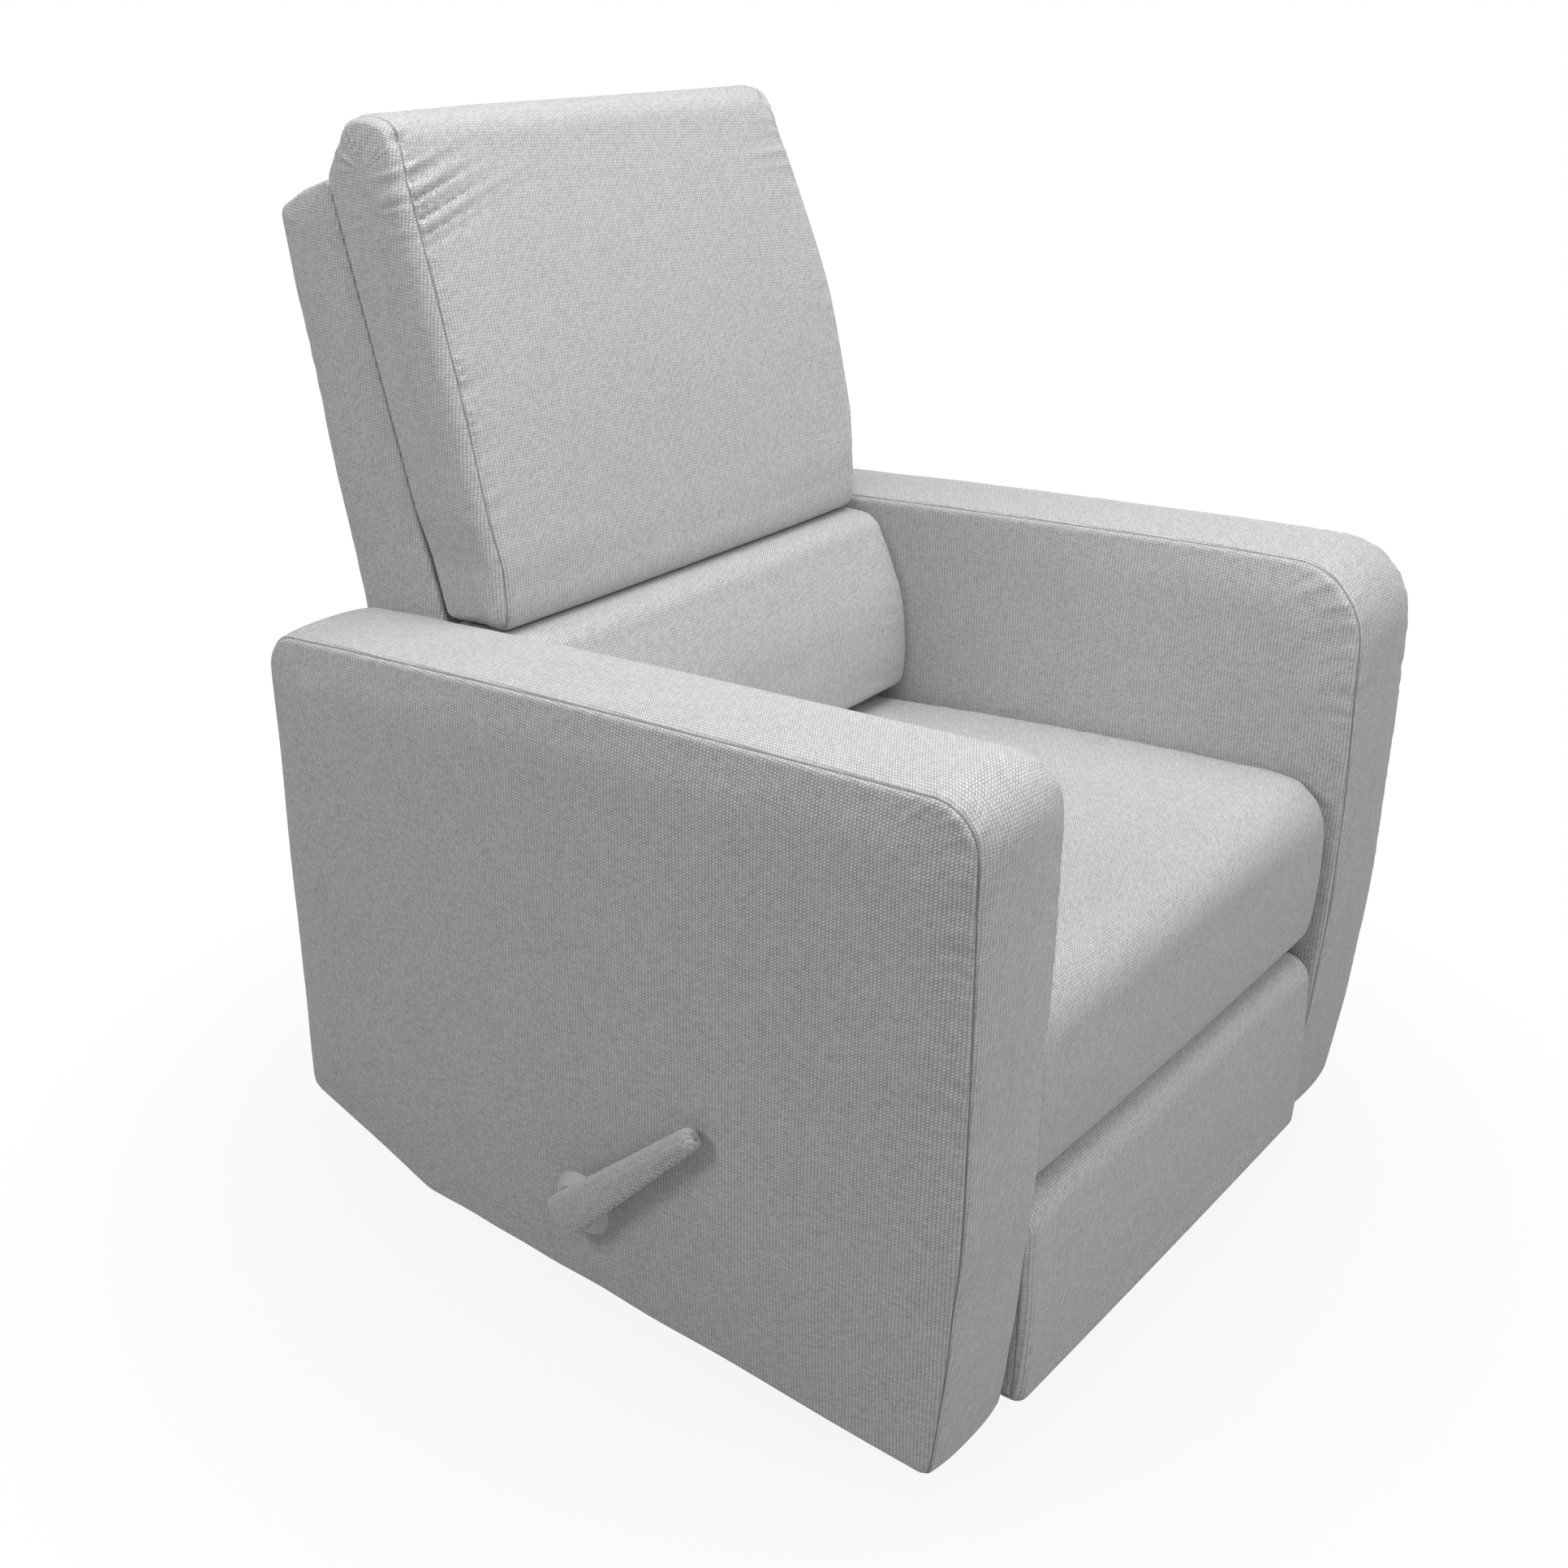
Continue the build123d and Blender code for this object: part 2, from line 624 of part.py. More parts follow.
# ---------------------------------------------------------------- seat carriage
seat_rail_base = slide_pin_z - seat_rail_height / 2
with BuildPart() as seat_rail:
    with BuildSketch(Plane.YZ.offset(outer_layer)):
        with BuildLine():
            FilletPolyline(
                (seat_rail_front, seat_rail_base),
                (recline_pivot_y - pivot_lug - pivot_lug_run, seat_rail_base),
                (recline_pivot_y - pivot_lug, recline_pivot_z - pivot_lug),
                (recline_pivot_y + pivot_lug, recline_pivot_z - pivot_lug),
                (recline_pivot_y + pivot_lug, seat_rail_base + seat_rail_height),
                (seat_rail_front, seat_rail_base + seat_rail_height),
                radius=seat_rail_radius,
                close=True,
            )
        make_face()
    extrude(amount=link_thickness)
    with BuildSketch(Plane.XY.offset(seat_rail_base)):
        with Locations((outer_layer + link_thickness, seat_rail_front + seat_rail_toe)):
            Rectangle(
                seat_board_thickness + link_thickness,
                seat_frame_rear - seat_rail_front - seat_rail_toe,
                align=(Align.MAX, Align.MIN),
            )
    extrude(amount=-link_thickness)
    for rest in (slide_pin_front, slide_pin_rear):
        with BuildSketch(Plane.YZ.offset(outer_layer)):
            with Locations((rest, slide_pin_z)):
                Circle(guide_pin_radius)
        extrude(amount=arm_inner - outer_layer - layer_gap / 2)
    add(pin(recline_pivot, outer_layer, bracket_layer + link_thickness / 4, headed=False))
save_pair(seat_rail.part, "seat_rail")

seat_frame_base = seat_rail_base
seat_frame_top = seat_frame_base + seat_board_height
with BuildPart() as seat_side_board:
    with BuildSketch(Plane.XY.offset(seat_frame_base)):
        with Locations((outer_layer, seat_frame_front)):
            Rectangle(
                seat_board_thickness,
                seat_frame_rear - seat_frame_front,
                align=(Align.MAX, Align.MIN),
            )
    extrude(amount=seat_board_height)
save_pair(seat_side_board.part, "seat_side_board")

board_half = outer_layer - seat_board_thickness
for board_y, side, name in (
    (seat_frame_front, Align.MIN, "seat_front_board"),
    (seat_frame_rear, Align.MAX, "seat_rear_board"),
):
    with BuildPart() as seat_board:
        with BuildSketch(Plane.XY.offset(seat_frame_base)):
            with Locations((0, board_y)):
                Rectangle(2 * board_half, seat_board_thickness, align=(Align.CENTER, side))
        extrude(amount=seat_board_height)
    save(seat_board.part, name)

with BuildPart() as seat_webbing:
    with BuildSketch(Plane.XY.offset(seat_frame_top)):
        with Locations((0, (seat_frame_front + seat_frame_rear) / 2)):
            with GridLocations(webbing_pitch, 1, webbing_count, 1):
                Rectangle(webbing_width, seat_frame_rear - seat_frame_front - 2 * webbing_end)
    extrude(amount=webbing_thickness)
save(seat_webbing.part, "seat_webbing")

seat_underside = seat_frame_top + webbing_thickness + fit_gap
with BuildPart() as seat_cushion:
    with BuildSketch(Plane.YZ.offset(-seat_half_width)) as seat_side:
        with BuildLine():
            ThreePointArc(
                (seat_front, seat_front_height),
                ((seat_front + seat_rear) / 2, (seat_front_height + seat_rear_height) / 2 + seat_crown),
                (seat_rear, seat_rear_height),
            )
            Polyline(
                (seat_rear, seat_rear_height),
                (seat_rear, seat_underside),
                (seat_front + seat_front_thickness, seat_underside),
                (seat_front + seat_front_thickness, seat_front_bottom),
                (seat_front, seat_front_bottom),
                (seat_front, seat_front_height),
            )
        make_face()
        corners = seat_side.vertices()
        fillet(corners.group_by(Axis.X)[0].sort_by(Axis.Y)[-1:], seat_nose_radius)
        fillet(corners.group_by(Axis.Y)[0], seat_front_thickness / 4)
    extrude(amount=2 * seat_half_width)
    top_edges = seat_cushion.faces().filter_by(Axis.X).edges().filter_by(
        lambda edge: edge.center().Z > seat_underside + seat_edge_radius
        or edge.center().Y < seat_front + fit_gap
    )
    fillet(top_edges, seat_edge_radius)
    with BuildSketch(Plane.XY.offset(seat_underside)):
        with Locations((0, guide_pin[0] - bracket_arm_radius - notch_clearance)):
            Rectangle(2 * chair_width, chair_width, align=(Align.CENTER, Align.MIN))
            Rectangle(
                2 * (shell_waist_half_width - notch_clearance),
                chair_width,
                align=(Align.CENTER, Align.MIN),
                mode=Mode.SUBTRACT,
            )
    extrude(amount=chair_width, mode=Mode.SUBTRACT)
save(seat_cushion.part, "seat_cushion")

# ---------------------------------------------------------------- back
def shell_section(half_width, inset, corner_radius):
    """The tapering wedge of the back between its front and rear faces."""
    front_top = shell_top - inset
    rear_top = shell_top - shell_top_fall - inset
    with BuildPart() as wedge:
        with BuildSketch(Plane.YZ.offset(-half_width)) as side:
            with BuildLine():
                Polyline(
                    (shell_front_y(shell_bottom) + inset, shell_bottom),
                    (shell_front_y(front_top) + inset, front_top),
                    (shell_rear_y(rear_top) - inset, rear_top),
                    (shell_rear_y(shell_bottom) - inset, shell_bottom),
                    close=True,
                )
            make_face()
            fillet(side.vertices().group_by(Axis.X)[-1], corner_radius)
        extrude(amount=2 * half_width)
    return wedge.part


with BuildPart() as waist_cut:
    with BuildSketch(Plane.XY.offset(shell_bottom)):
        Rectangle(2 * chair_width, 2 * chair_width)
        Rectangle(2 * shell_waist_half_width, 2 * chair_width, mode=Mode.SUBTRACT)
    extrude(amount=shell_waist_height - shell_bottom)

back_cavity = shell_section(shell_waist_half_width - shell_wall, shell_wall, shell_corner_radius / 3)
with BuildPart() as back_shell:
    add(shell_section(shell_half_width, 0, shell_corner_radius))
    add(waist_cut.part, mode=Mode.SUBTRACT)
    add(back_cavity, mode=Mode.SUBTRACT)
save(back_shell.part, "back_shell")

frame_front_inset = shell_wall + fit_gap
frame_half = shell_waist_half_width - shell_wall - fit_gap
frame_top = shell_top - shell_wall - back_rail / 4
frame_bottom = shell_bottom + fit_gap


def back_slab(half_width, inset, thickness, low, high):
    """A slab that leans with the front face of the back, so far behind that face."""
    with BuildPart() as slab:
        with BuildSketch(Plane.YZ.offset(-half_width)):
            with BuildLine():
                Polyline(
                    (shell_front_y(low) + inset, low),
                    (shell_front_y(high) + inset, high),
                    (shell_front_y(high) + inset + thickness, high),
                    (shell_front_y(low) + inset + thickness, low),
                    close=True,
                )
            make_face()
        extrude(amount=2 * half_width)
    return slab.part


row_height = (frame_top - frame_bottom - (back_row_count + 1) * back_rail) / back_row_count
with BuildPart() as back_frame:
    add(back_slab(frame_half, frame_front_inset, back_board_thickness, frame_bottom, frame_top))
    with BuildSketch(Plane.XZ):
        with Locations((0, (frame_top + frame_bottom) / 2)):
            with GridLocations(1, row_height + back_rail, 1, back_row_count):
                Rectangle(2 * (frame_half - back_rail), row_height)
    extrude(amount=chair_width, both=True, mode=Mode.SUBTRACT)
save(back_frame.part, "back_frame")

with BuildPart() as back_webbing:
    for row in range(back_strap_count):
        low = frame_bottom + back_rail + (row + 0.5) * webbing_pitch
        behind = frame_front_inset + back_board_thickness
        add(back_slab(frame_half - fit_gap, behind, webbing_thickness, low, low + webbing_width))
save(back_webbing.part, "back_webbing")

brace_low_z = recline_pivot_z + brace_rise
brace_high_z = shell_waist_height - brace_top_gap
brace_low = (shell_front_y(brace_low_z) + brace_depth, brace_low_z)
brace_high = (shell_front_y(brace_high_z) + brace_depth, brace_high_z)
with BuildPart() as back_bracket:
    with BuildSketch(Plane.YZ.offset(bracket_layer)):
        slot(recline_pivot, guide_pin, bracket_arm_radius)
        slot(recline_pivot, brace_low, bracket_arm_radius)
        slot(brace_low, brace_high, bracket_arm_radius)
        slot(guide_pin, brace_high, bracket_arm_radius)
        with Locations(recline_pivot):
            Circle(pin_radius + pin_clearance, mode=Mode.SUBTRACT)
    extrude(amount=link_thickness)
    add(pin(guide_pin, bracket_layer, arm_inner - layer_gap / 2, guide_pin_radius, headed=False))
save_pair(back_bracket.part, "back_bracket")

with BuildPart() as back_pillow:
    with BuildSketch(Plane.YZ.offset(-pillow_half_width)) as pillow_side:
        with BuildLine():
            foot = (pillow_front, pillow_bottom)
            nose = (pillow_top_front, pillow_top)
            middle = ((foot[0] + nose[0]) / 2 - pillow_bulge, (foot[1] + nose[1]) / 2)
            ThreePointArc(foot, middle, nose)
            Polyline(
                nose,
                (shell_top_front - pillow_rear_lean, pillow_top),
                (shell_top_front - fit_gap, shell_top + fit_gap),
                (shell_front_y(pillow_bottom) - fit_gap, pillow_bottom),
                foot,
            )
        make_face()
        fillet(pillow_side.vertices().group_by(Axis.Y)[-1], pillow_rear_radius)
        fillet(pillow_side.vertices().sort_by(Axis.X)[:1], pillow_edge_radius)
    extrude(amount=2 * pillow_half_width)
    side_edges = back_pillow.faces().filter_by(Axis.X).edges()
    fillet(side_edges.filter_by(lambda edge: edge.center().Y < pillow_top_front), pillow_edge_radius / 2)
save(back_pillow.part, "back_pillow")

with BuildPart() as lumbar_cushion:
    with BuildSketch(Plane.YZ.offset(-lumbar_half_width)) as lumbar_side:
        with BuildLine():
            ThreePointArc(
                (lumbar_front + lumbar_lean, lumbar_top),
                (lumbar_front + lumbar_swell, (lumbar_top + lumbar_bottom) / 2),
                (lumbar_front, lumbar_bottom),
            )
            Polyline(
                (lumbar_front, lumbar_bottom),
                (shell_front_y(lumbar_bottom) - fit_gap, lumbar_bottom),
                (shell_front_y(lumbar_top) - fit_gap, lumbar_top),
                (lumbar_front + lumbar_lean, lumbar_top),
            )
        make_face()
        front_corners = lumbar_side.vertices().sort_by(Axis.X)[:2]
        fillet(front_corners, lumbar_edge_radius)
    extrude(amount=2 * lumbar_half_width)
    fillet(lumbar_cushion.faces().filter_by(Axis.X).edges(), lumbar_edge_radius / 2)
save(lumbar_cushion.part, "lumbar_cushion")

# ---------------------------------------------------------------- release lever and its shaft
hub_outer = arm_outer + hub_length
core_x = hub_outer + (lever_thickness - lever_core_thickness) / 2
lever_tip = polar_point(shaft, lever_reach, lever_angle)

with BuildPart() as cranks:
    add(flat_link(outer_layer, [shaft, crank_end], crank_width / 2, []))
    add(pin(crank_end, outer_layer, inner_layer - pin_end))
    mirror(about=Plane.YZ)

with BuildPart() as torque_shaft:
    with BuildSketch(Plane.YZ.offset(-core_x - lever_core_thickness)):
        with Locations(shaft):
            Circle(shaft_radius)
    extrude(amount=core_x + lever_core_thickness + arm_inner - layer_gap / 2)
    add(cranks.part)
save(torque_shaft.part, "torque_shaft")

with BuildPart() as lever_hub:
    with BuildSketch(Plane.YZ.offset(-arm_outer - hub_clearance)):
        with Locations(shaft):
            Circle(hub_radius)
    with BuildSketch(Plane.YZ.offset(-hub_outer)):
        with Locations(shaft):
            Circle(hub_nose_radius)
    loft()
    with BuildSketch(Plane.YZ.offset(-arm_outer)):
        with Locations(shaft):
            Circle(shaft_radius)
    extrude(amount=-hub_length, mode=Mode.SUBTRACT)
save(lever_hub.part, "lever_hub")

with BuildPart() as lever_core:
    with BuildSketch(Plane.YZ.offset(-core_x)):
        with Locations(shaft):
            Circle(lever_foot_radius - lever_core_inset)
        with Locations(lever_tip):
            Circle(lever_tip_radius - lever_core_inset)
        make_hull()
        with Locations(shaft):
            Circle(shaft_radius, mode=Mode.SUBTRACT)
    extrude(amount=-lever_core_thickness)
save(lever_core.part, "lever_core")

with BuildPart() as lever_pocket:
    with BuildSketch(Plane.YZ.offset(-core_x + fit_gap)):
        with Locations(shaft):
            Circle(lever_foot_radius - lever_core_inset + fit_gap)
        with Locations(lever_tip):
            Circle(lever_tip_radius - lever_core_inset + fit_gap)
        make_hull()
    extrude(amount=-lever_core_thickness - 2 * fit_gap)

with BuildPart() as lever_cover:
    with BuildSketch(Plane.YZ.offset(-hub_outer)):
        with Locations(shaft):
            Circle(lever_foot_radius)
        with Locations(lever_tip):
            Circle(lever_tip_radius)
        make_hull()
    extrude(amount=-lever_thickness)
    chamfer(lever_cover.faces().filter_by(Axis.X).edges(), cover_chamfer)
    add(lever_pocket.part, mode=Mode.SUBTRACT)
    with BuildSketch(Plane.YZ.offset(-hub_outer)):
        with Locations(shaft):
            Circle(shaft_radius + fit_gap)
    extrude(amount=-lever_thickness / 2, mode=Mode.SUBTRACT)
save(lever_cover.part, "lever_cover")

with BuildPart() as drive_links:
    add(flat_link(inner_layer, [crank_end, lug_end], tilt_link_radius, [crank_end, lug_end]))
    mirror(about=Plane.YZ)
save(drive_links.part, "drive_links")

# ---------------------------------------------------------------- footrest scissor linkage
# The links cross in two layers: links one and four are outermost, links two and three
# are inside them. The control link that turns the footrest runs inside all of these.
outer_links = (
    (
        "scissor_link_one",
        [lug_end, plate_high, middle_low],
        [plate_high],
        [lug_end, rear_cross, middle_low],
    ),
    ("scissor_link_four", [middle_high, front_low], [], [middle_high, front_cross]),
)
inner_links = (
    ("scissor_link_two", [plate_low, middle_high], [rear_cross, middle_high]),
    ("scissor_link_three", [middle_low, front_high], [middle_low, front_cross, front_high]),
)
for name, pivots, bores, pins_at in outer_links:
    with BuildPart() as scissor_links:
        add(flat_link(outer_layer, pivots, link_radius, bores))
        for point in pins_at:
            add(pin(point, outer_layer, inner_layer - pin_end))
        if name == "scissor_link_four":
            add(pin(front_low, outer_layer, tilt_layer - pin_end))
        mirror(about=Plane.YZ)
    save(scissor_links.part, name)

for name, pivots, bores in inner_links:
    with BuildPart() as scissor_links:
        add(flat_link(inner_layer, pivots, link_radius, bores))
        if name == "scissor_link_two":
            add(pin(plate_low, inner_layer + link_thickness, arm_inner - layer_gap / 2, headed=False))
        mirror(about=Plane.YZ)
    save(scissor_links.part, name)

tilt_eye_radius = pin_radius + tilt_eye_clearance
tilt_run = (Vector(*tilt_pivot) - Vector(*front_low)).normalized()
tilt_side = Vector(-tilt_run.Y, tilt_run.X)
tilt_eye = Vector(*tilt_pivot) - tilt_run * tilt_eye_setback + tilt_side * tilt_eye_lead
with BuildPart() as tilt_links:
    with BuildSketch(Plane.YZ.offset(tilt_layer)):
        slot(front_low, tuple(tilt_eye)[:2], tilt_link_radius)
        with Locations(tilt_eye):
            Circle(tilt_eye_radius + tilt_eye_wall)
            Circle(tilt_eye_radius, mode=Mode.SUBTRACT)
        with Locations(front_low):
            Circle(pin_radius + pin_clearance, mode=Mode.SUBTRACT)
    extrude(amount=link_thickness)
    mirror(about=Plane.YZ)
save(tilt_links.part, "tilt_links")

# ---------------------------------------------------------------- footrest
bracket_top = footrest_top - footrest_board_inset - bracket_drop
with BuildPart() as footrest_bracket:
    with BuildSketch(Plane.YZ.offset(outer_layer)):
        with Locations(front_high):
            Circle(link_radius + bracket_rim)
        with Locations(tilt_pivot):
            Circle(tilt_link_radius + bracket_rim)
        with Locations((board_rear, bracket_top)):
            Rectangle(link_thickness, bracket_flange, align=(Align.MIN, Align.MAX))
        make_hull()
    extrude(amount=link_thickness)
    with BuildSketch(Plane.XZ.offset(-board_rear)):
        with Locations((outer_layer + link_thickness, bracket_top)):
            Rectangle(bracket_reach, bracket_flange, align=(Align.MAX, Align.MAX))
    extrude(amount=-link_thickness + bracket_rim)
    add(pin(front_high, outer_layer, inner_layer - pin_end))
    add(pin(tilt_pivot, outer_layer, tilt_layer - pin_end))
save_pair(footrest_bracket.part, "footrest_bracket")

with BuildPart() as footrest_board:
    with BuildSketch(Plane.XZ.offset(-footrest_rear)):
        with Locations((0, footrest_top - footrest_board_inset)):
            Rectangle(
                2 * footrest_board_half_width,
                footrest_top - footrest_board_inset - arm_bottom - footrest_board_foot,
                align=(Align.CENTER, Align.MAX),
            )
    extrude(amount=-footrest_board_thickness)
save(footrest_board.part, "footrest_board")

with BuildPart() as footrest_pad:
    with BuildSketch(Plane.XZ.offset(-footrest_front)):
        with Locations((0, arm_bottom)):
            Rectangle(2 * footrest_half_width, footrest_top - arm_bottom, align=(Align.CENTER, Align.MIN))
    extrude(amount=-footrest_pad_thickness + fit_gap)
    fillet(footrest_pad.faces().sort_by(Axis.Y)[0].edges(), footrest_pad_radius)
    top_edges = footrest_pad.edges().filter_by(Axis.X).group_by(Axis.Z)[-1]
    fillet(top_edges.sort_by(Axis.Y)[-1:], footrest_pad_radius)
save(footrest_pad.part, "footrest_pad")
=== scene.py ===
import json
import math

import bpy
import numpy as np
from mathutils import Matrix, Vector


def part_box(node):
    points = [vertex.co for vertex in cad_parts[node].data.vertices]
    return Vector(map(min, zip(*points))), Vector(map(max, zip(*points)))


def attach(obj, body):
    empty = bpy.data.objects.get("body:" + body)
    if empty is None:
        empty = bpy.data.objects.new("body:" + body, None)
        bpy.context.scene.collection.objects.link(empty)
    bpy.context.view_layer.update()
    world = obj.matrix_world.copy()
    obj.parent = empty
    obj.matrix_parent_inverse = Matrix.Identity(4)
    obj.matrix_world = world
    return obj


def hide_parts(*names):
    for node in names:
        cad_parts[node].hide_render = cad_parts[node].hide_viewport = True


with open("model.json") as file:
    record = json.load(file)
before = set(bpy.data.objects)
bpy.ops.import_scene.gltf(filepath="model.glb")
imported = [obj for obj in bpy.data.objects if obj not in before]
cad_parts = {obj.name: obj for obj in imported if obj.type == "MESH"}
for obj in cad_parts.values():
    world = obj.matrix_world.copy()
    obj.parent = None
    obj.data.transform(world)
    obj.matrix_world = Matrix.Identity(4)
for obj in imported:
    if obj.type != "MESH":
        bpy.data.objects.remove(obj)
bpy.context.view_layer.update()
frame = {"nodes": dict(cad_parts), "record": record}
nodes = frame["nodes"]
print("frame loaded,", len(nodes), "nodes")


# ---- shader wiring: expressions on sockets add Math nodes
class Wire:
    def __init__(self, finish, socket):
        self.finish = finish
        self.socket = socket

    def math(self, operation, *others):
        values = dict(enumerate((self,) + others))
        return self.finish.node("ShaderNodeMath", {"operation": operation}, values)

    def __add__(self, other):
        return self.math("ADD", other)

    def __sub__(self, other):
        return self.math("SUBTRACT", other)

    def __mul__(self, other):
        return self.math("MULTIPLY", other)

    def __rsub__(self, other):
        return self.finish.node("ShaderNodeMath", {"operation": "SUBTRACT"}, {0: other, 1: self})

    __radd__ = __add__
    __rmul__ = __mul__


class Finish:
    # the node tree of a material or of the world
    def __init__(self, owner):
        self.owner = owner
        owner.use_nodes = True
        self.tree = owner.node_tree
        self.tree.nodes.clear()

    def node(self, kind, settings=None, values=None, output=0):
        made = self.tree.nodes.new(kind)
        for key, value in (settings or {}).items():
            if key == "stops":
                ramp = made.color_ramp
                while len(ramp.elements) < len(value):
                    ramp.elements.new(0.5)
                for element, (place, shade) in zip(ramp.elements, value):
                    element.position = place
                    element.color = shade
            else:
                setattr(made, key, value)
        for key, value in (values or {}).items():
            if isinstance(value, Wire):
                self.tree.links.new(value.socket, made.inputs[key])
            else:
                made.inputs[key].default_value = value
        return Wire(self, made.outputs[output]) if len(made.outputs) else None

    def place(self):
        # the object's own coordinates
        return self.node("ShaderNodeTexCoord", None, None, 3)

    def inSight(self):
        # 1 for the camera's rays, straight or mirrored, and 0 for those that carry light
        seen = self.node("ShaderNodeLightPath", None, None, "Is Camera Ray")
        mirrored = self.node("ShaderNodeLightPath", None, None, "Is Glossy Ray")
        return seen.math("MAXIMUM", mirrored)

    def range(self, value, low, high, start=0.0, end=1.0):
        spans = {0: value, 1: low, 2: high, 3: start, 4: end}
        return self.node("ShaderNodeMapRange", {"interpolation_type": "SMOOTHSTEP"}, spans)

    def blend(self, factor, first, second):
        return self.node("ShaderNodeMix", {"data_type": "RGBA"}, {0: factor, 6: first, 7: second}, 2)

    def stretch(self, vector, scale, turn=0.0):
        values = {"Vector": vector, "Rotation": (0.0, 0.0, turn), "Scale": scale}
        return self.node("ShaderNodeMapping", {"vector_type": "POINT"}, values)

    def noise(self, vector, scale, detail=2.0, roughness=0.5):
        values = {"Vector": vector, "Scale": scale, "Detail": detail, "Roughness": roughness}
        return self.node("ShaderNodeTexNoise", {"noise_dimensions": "3D"}, values)

    def relief(self, height, strength, distance):
        values = {"Strength": strength, "Distance": distance, "Height": height}
        return self.node("ShaderNodeBump", None, values)

    def surface(self, **values):
        values = {key.replace("_", " "): value for key, value in values.items()}
        shader = self.node("ShaderNodeBsdfPrincipled", None, values)
        self.node("ShaderNodeOutputMaterial", None, {"Surface": shader})
        return self.owner


def material(name):
    return Finish(bpy.data.materials.new(name))


def colour(red, green, blue):
    return (red, green, blue, 1.0)


def grey(level):
    return colour(level, level, level)


# ---- the heathered twill cover
twill = {
    "light": colour(0.662, 0.664, 0.676),
    "middle": colour(0.471, 0.474, 0.483),
    "dark": colour(0.174, 0.175, 0.179),
    "pick": 0.0021,         # metres from one row of floats to the next
    "float": 0.0042,        # along the row, from float to float
    "step": 0.36,           # share of a float that each row moves on by
    "turn": math.radians(34),   # floats to the panel's level lines
    "wander": 0.5,          # how far rows and floats stray
    "streak": 0.0075,       # length of a dark or light place in the yarn
    "streakWidth": 0.0013,
    # colour of the thin line along each seam: the seam's own line and painted shade of its crease
    "seam": colour(0.13, 0.135, 0.145),
    "seamWidth": 0.0006,
    "seamLineAndCreaseShade": 0.28,
    "reliefHeight": 0.00045,
    # the shade is a base and four parts; the grain part is the weave's pattern with painted shade of the
    # gaps between the floats
    "baseShade": 0.275, "grainAndGapShade": 0.66, "yarnShade": 0.17, "streakShade": 0.46, "cloudShade": 0.04,
}


def twillCover(name):
    cover = material(name)
    cloth = cover.node("ShaderNodeAttribute", {"attribute_name": "weave"}, None, 1)
    seam = cover.node("ShaderNodeAttribute", {"attribute_name": "seamDistance"}, None, 2)
    turned = cover.stretch(cloth, (1.0, 1.0, 1.0), twill["turn"])
    along = cover.node("ShaderNodeSeparateXYZ", None, {0: turned})
    across = cover.node("ShaderNodeSeparateXYZ", None, {0: turned}, 1)
    wander = (cover.noise(cloth, 22.0, 1.0) - 0.5) * twill["wander"]
    # rows of short floats, each row moved on, so that they line up along diagonals
    picks = across * (1 / twill["pick"]) + wander
    row = picks.math("FLOOR")
    ends = along * (1 / twill["float"]) + row * twill["step"] + wander
    inRow, inFloat = picks.math("FRACT") * 2.0 - 1.0, ends.math("FRACT") * 2.0 - 1.0
    # each float lighter in its middle and darker towards its edges: the weave's pattern, and painted shade
    # of the gaps between floats
    grain = (1.0 - inRow * inRow) * (1.0 - inFloat * inFloat)
    place = cover.node("ShaderNodeCombineXYZ", None, {0: ends.math("FLOOR"), 1: row})
    yarn = cover.node("ShaderNodeTexWhiteNoise", {"noise_dimensions": "2D"}, {"Vector": place})
    drawn = cover.stretch(cloth, (1 / twill["streak"], 1 / twill["streakWidth"], 1.0))
    streaks = cover.noise(drawn, 1.0)
    clouds = cover.noise(cloth, 11.0, 3.0, 0.6)
    shade = (grain * twill["grainAndGapShade"] + (yarn - 0.5) * twill["yarnShade"]
             + (streaks - 0.5) * twill["streakShade"] + (clouds - 0.5) * twill["cloudShade"]
             + twill["baseShade"])
    thread = cover.node("ShaderNodeValToRGB", {"stops": (
        (0.05, twill["dark"]), (0.48, twill["middle"]), (0.88, twill["light"]),
    )}, {0: shade})
    # a thin dark line along each seam, over the modelled groove: the seam's own line and painted shade of
    # its crease
    width = twill["seamWidth"]
    line = 1.0 - cover.range(seam.math("ABSOLUTE"), width * 0.4, width * 1.5)
    sewn = cover.blend(line * twill["seamLineAndCreaseShade"], thread, twill["seam"])
    height = grain * 0.8 + yarn * 0.2 + streaks * 0.5 - line * 2.0
    return cover.surface(Base_Color=sewn, Roughness=0.92 - shade * 0.08,
                         Normal=cover.relief(height, 1.0, twill["reliefHeight"]),
                         Specular_IOR_Level=0.25, Sheen_Weight=0.12, Sheen_Roughness=0.6)


# ---- metal, timber, rubber and plastic of the hidden parts
steelPaint = {"paint": colour(0.022, 0.022, 0.024), "dust": colour(0.075, 0.073, 0.070), "dusty": 0.35}
zincPlate = {"blue": colour(0.50, 0.51, 0.52), "yellow": colour(0.66, 0.65, 0.60)}
pine = {"early": colour(0.62, 0.44, 0.25), "late": colour(0.40, 0.25, 0.12), "rings": 21.0}
strap = {"dark": colour(0.055, 0.050, 0.045), "worn": colour(0.14, 0.12, 0.10)}


def paintedSteel():
    paint = material("black_paint")
    place = paint.place()
    peel = paint.noise(place, 420.0)
    dust = paint.range(paint.noise(place, 26.0, 4.0, 0.6), 0.45, 0.78)
    base = paint.blend(dust * steelPaint["dusty"], steelPaint["paint"], steelPaint["dust"])
    return paint.surface(Base_Color=base, Roughness=0.38 + dust * 0.25, Specular_IOR_Level=0.5,
                         Normal=paint.relief(peel, 0.18, 0.0002))


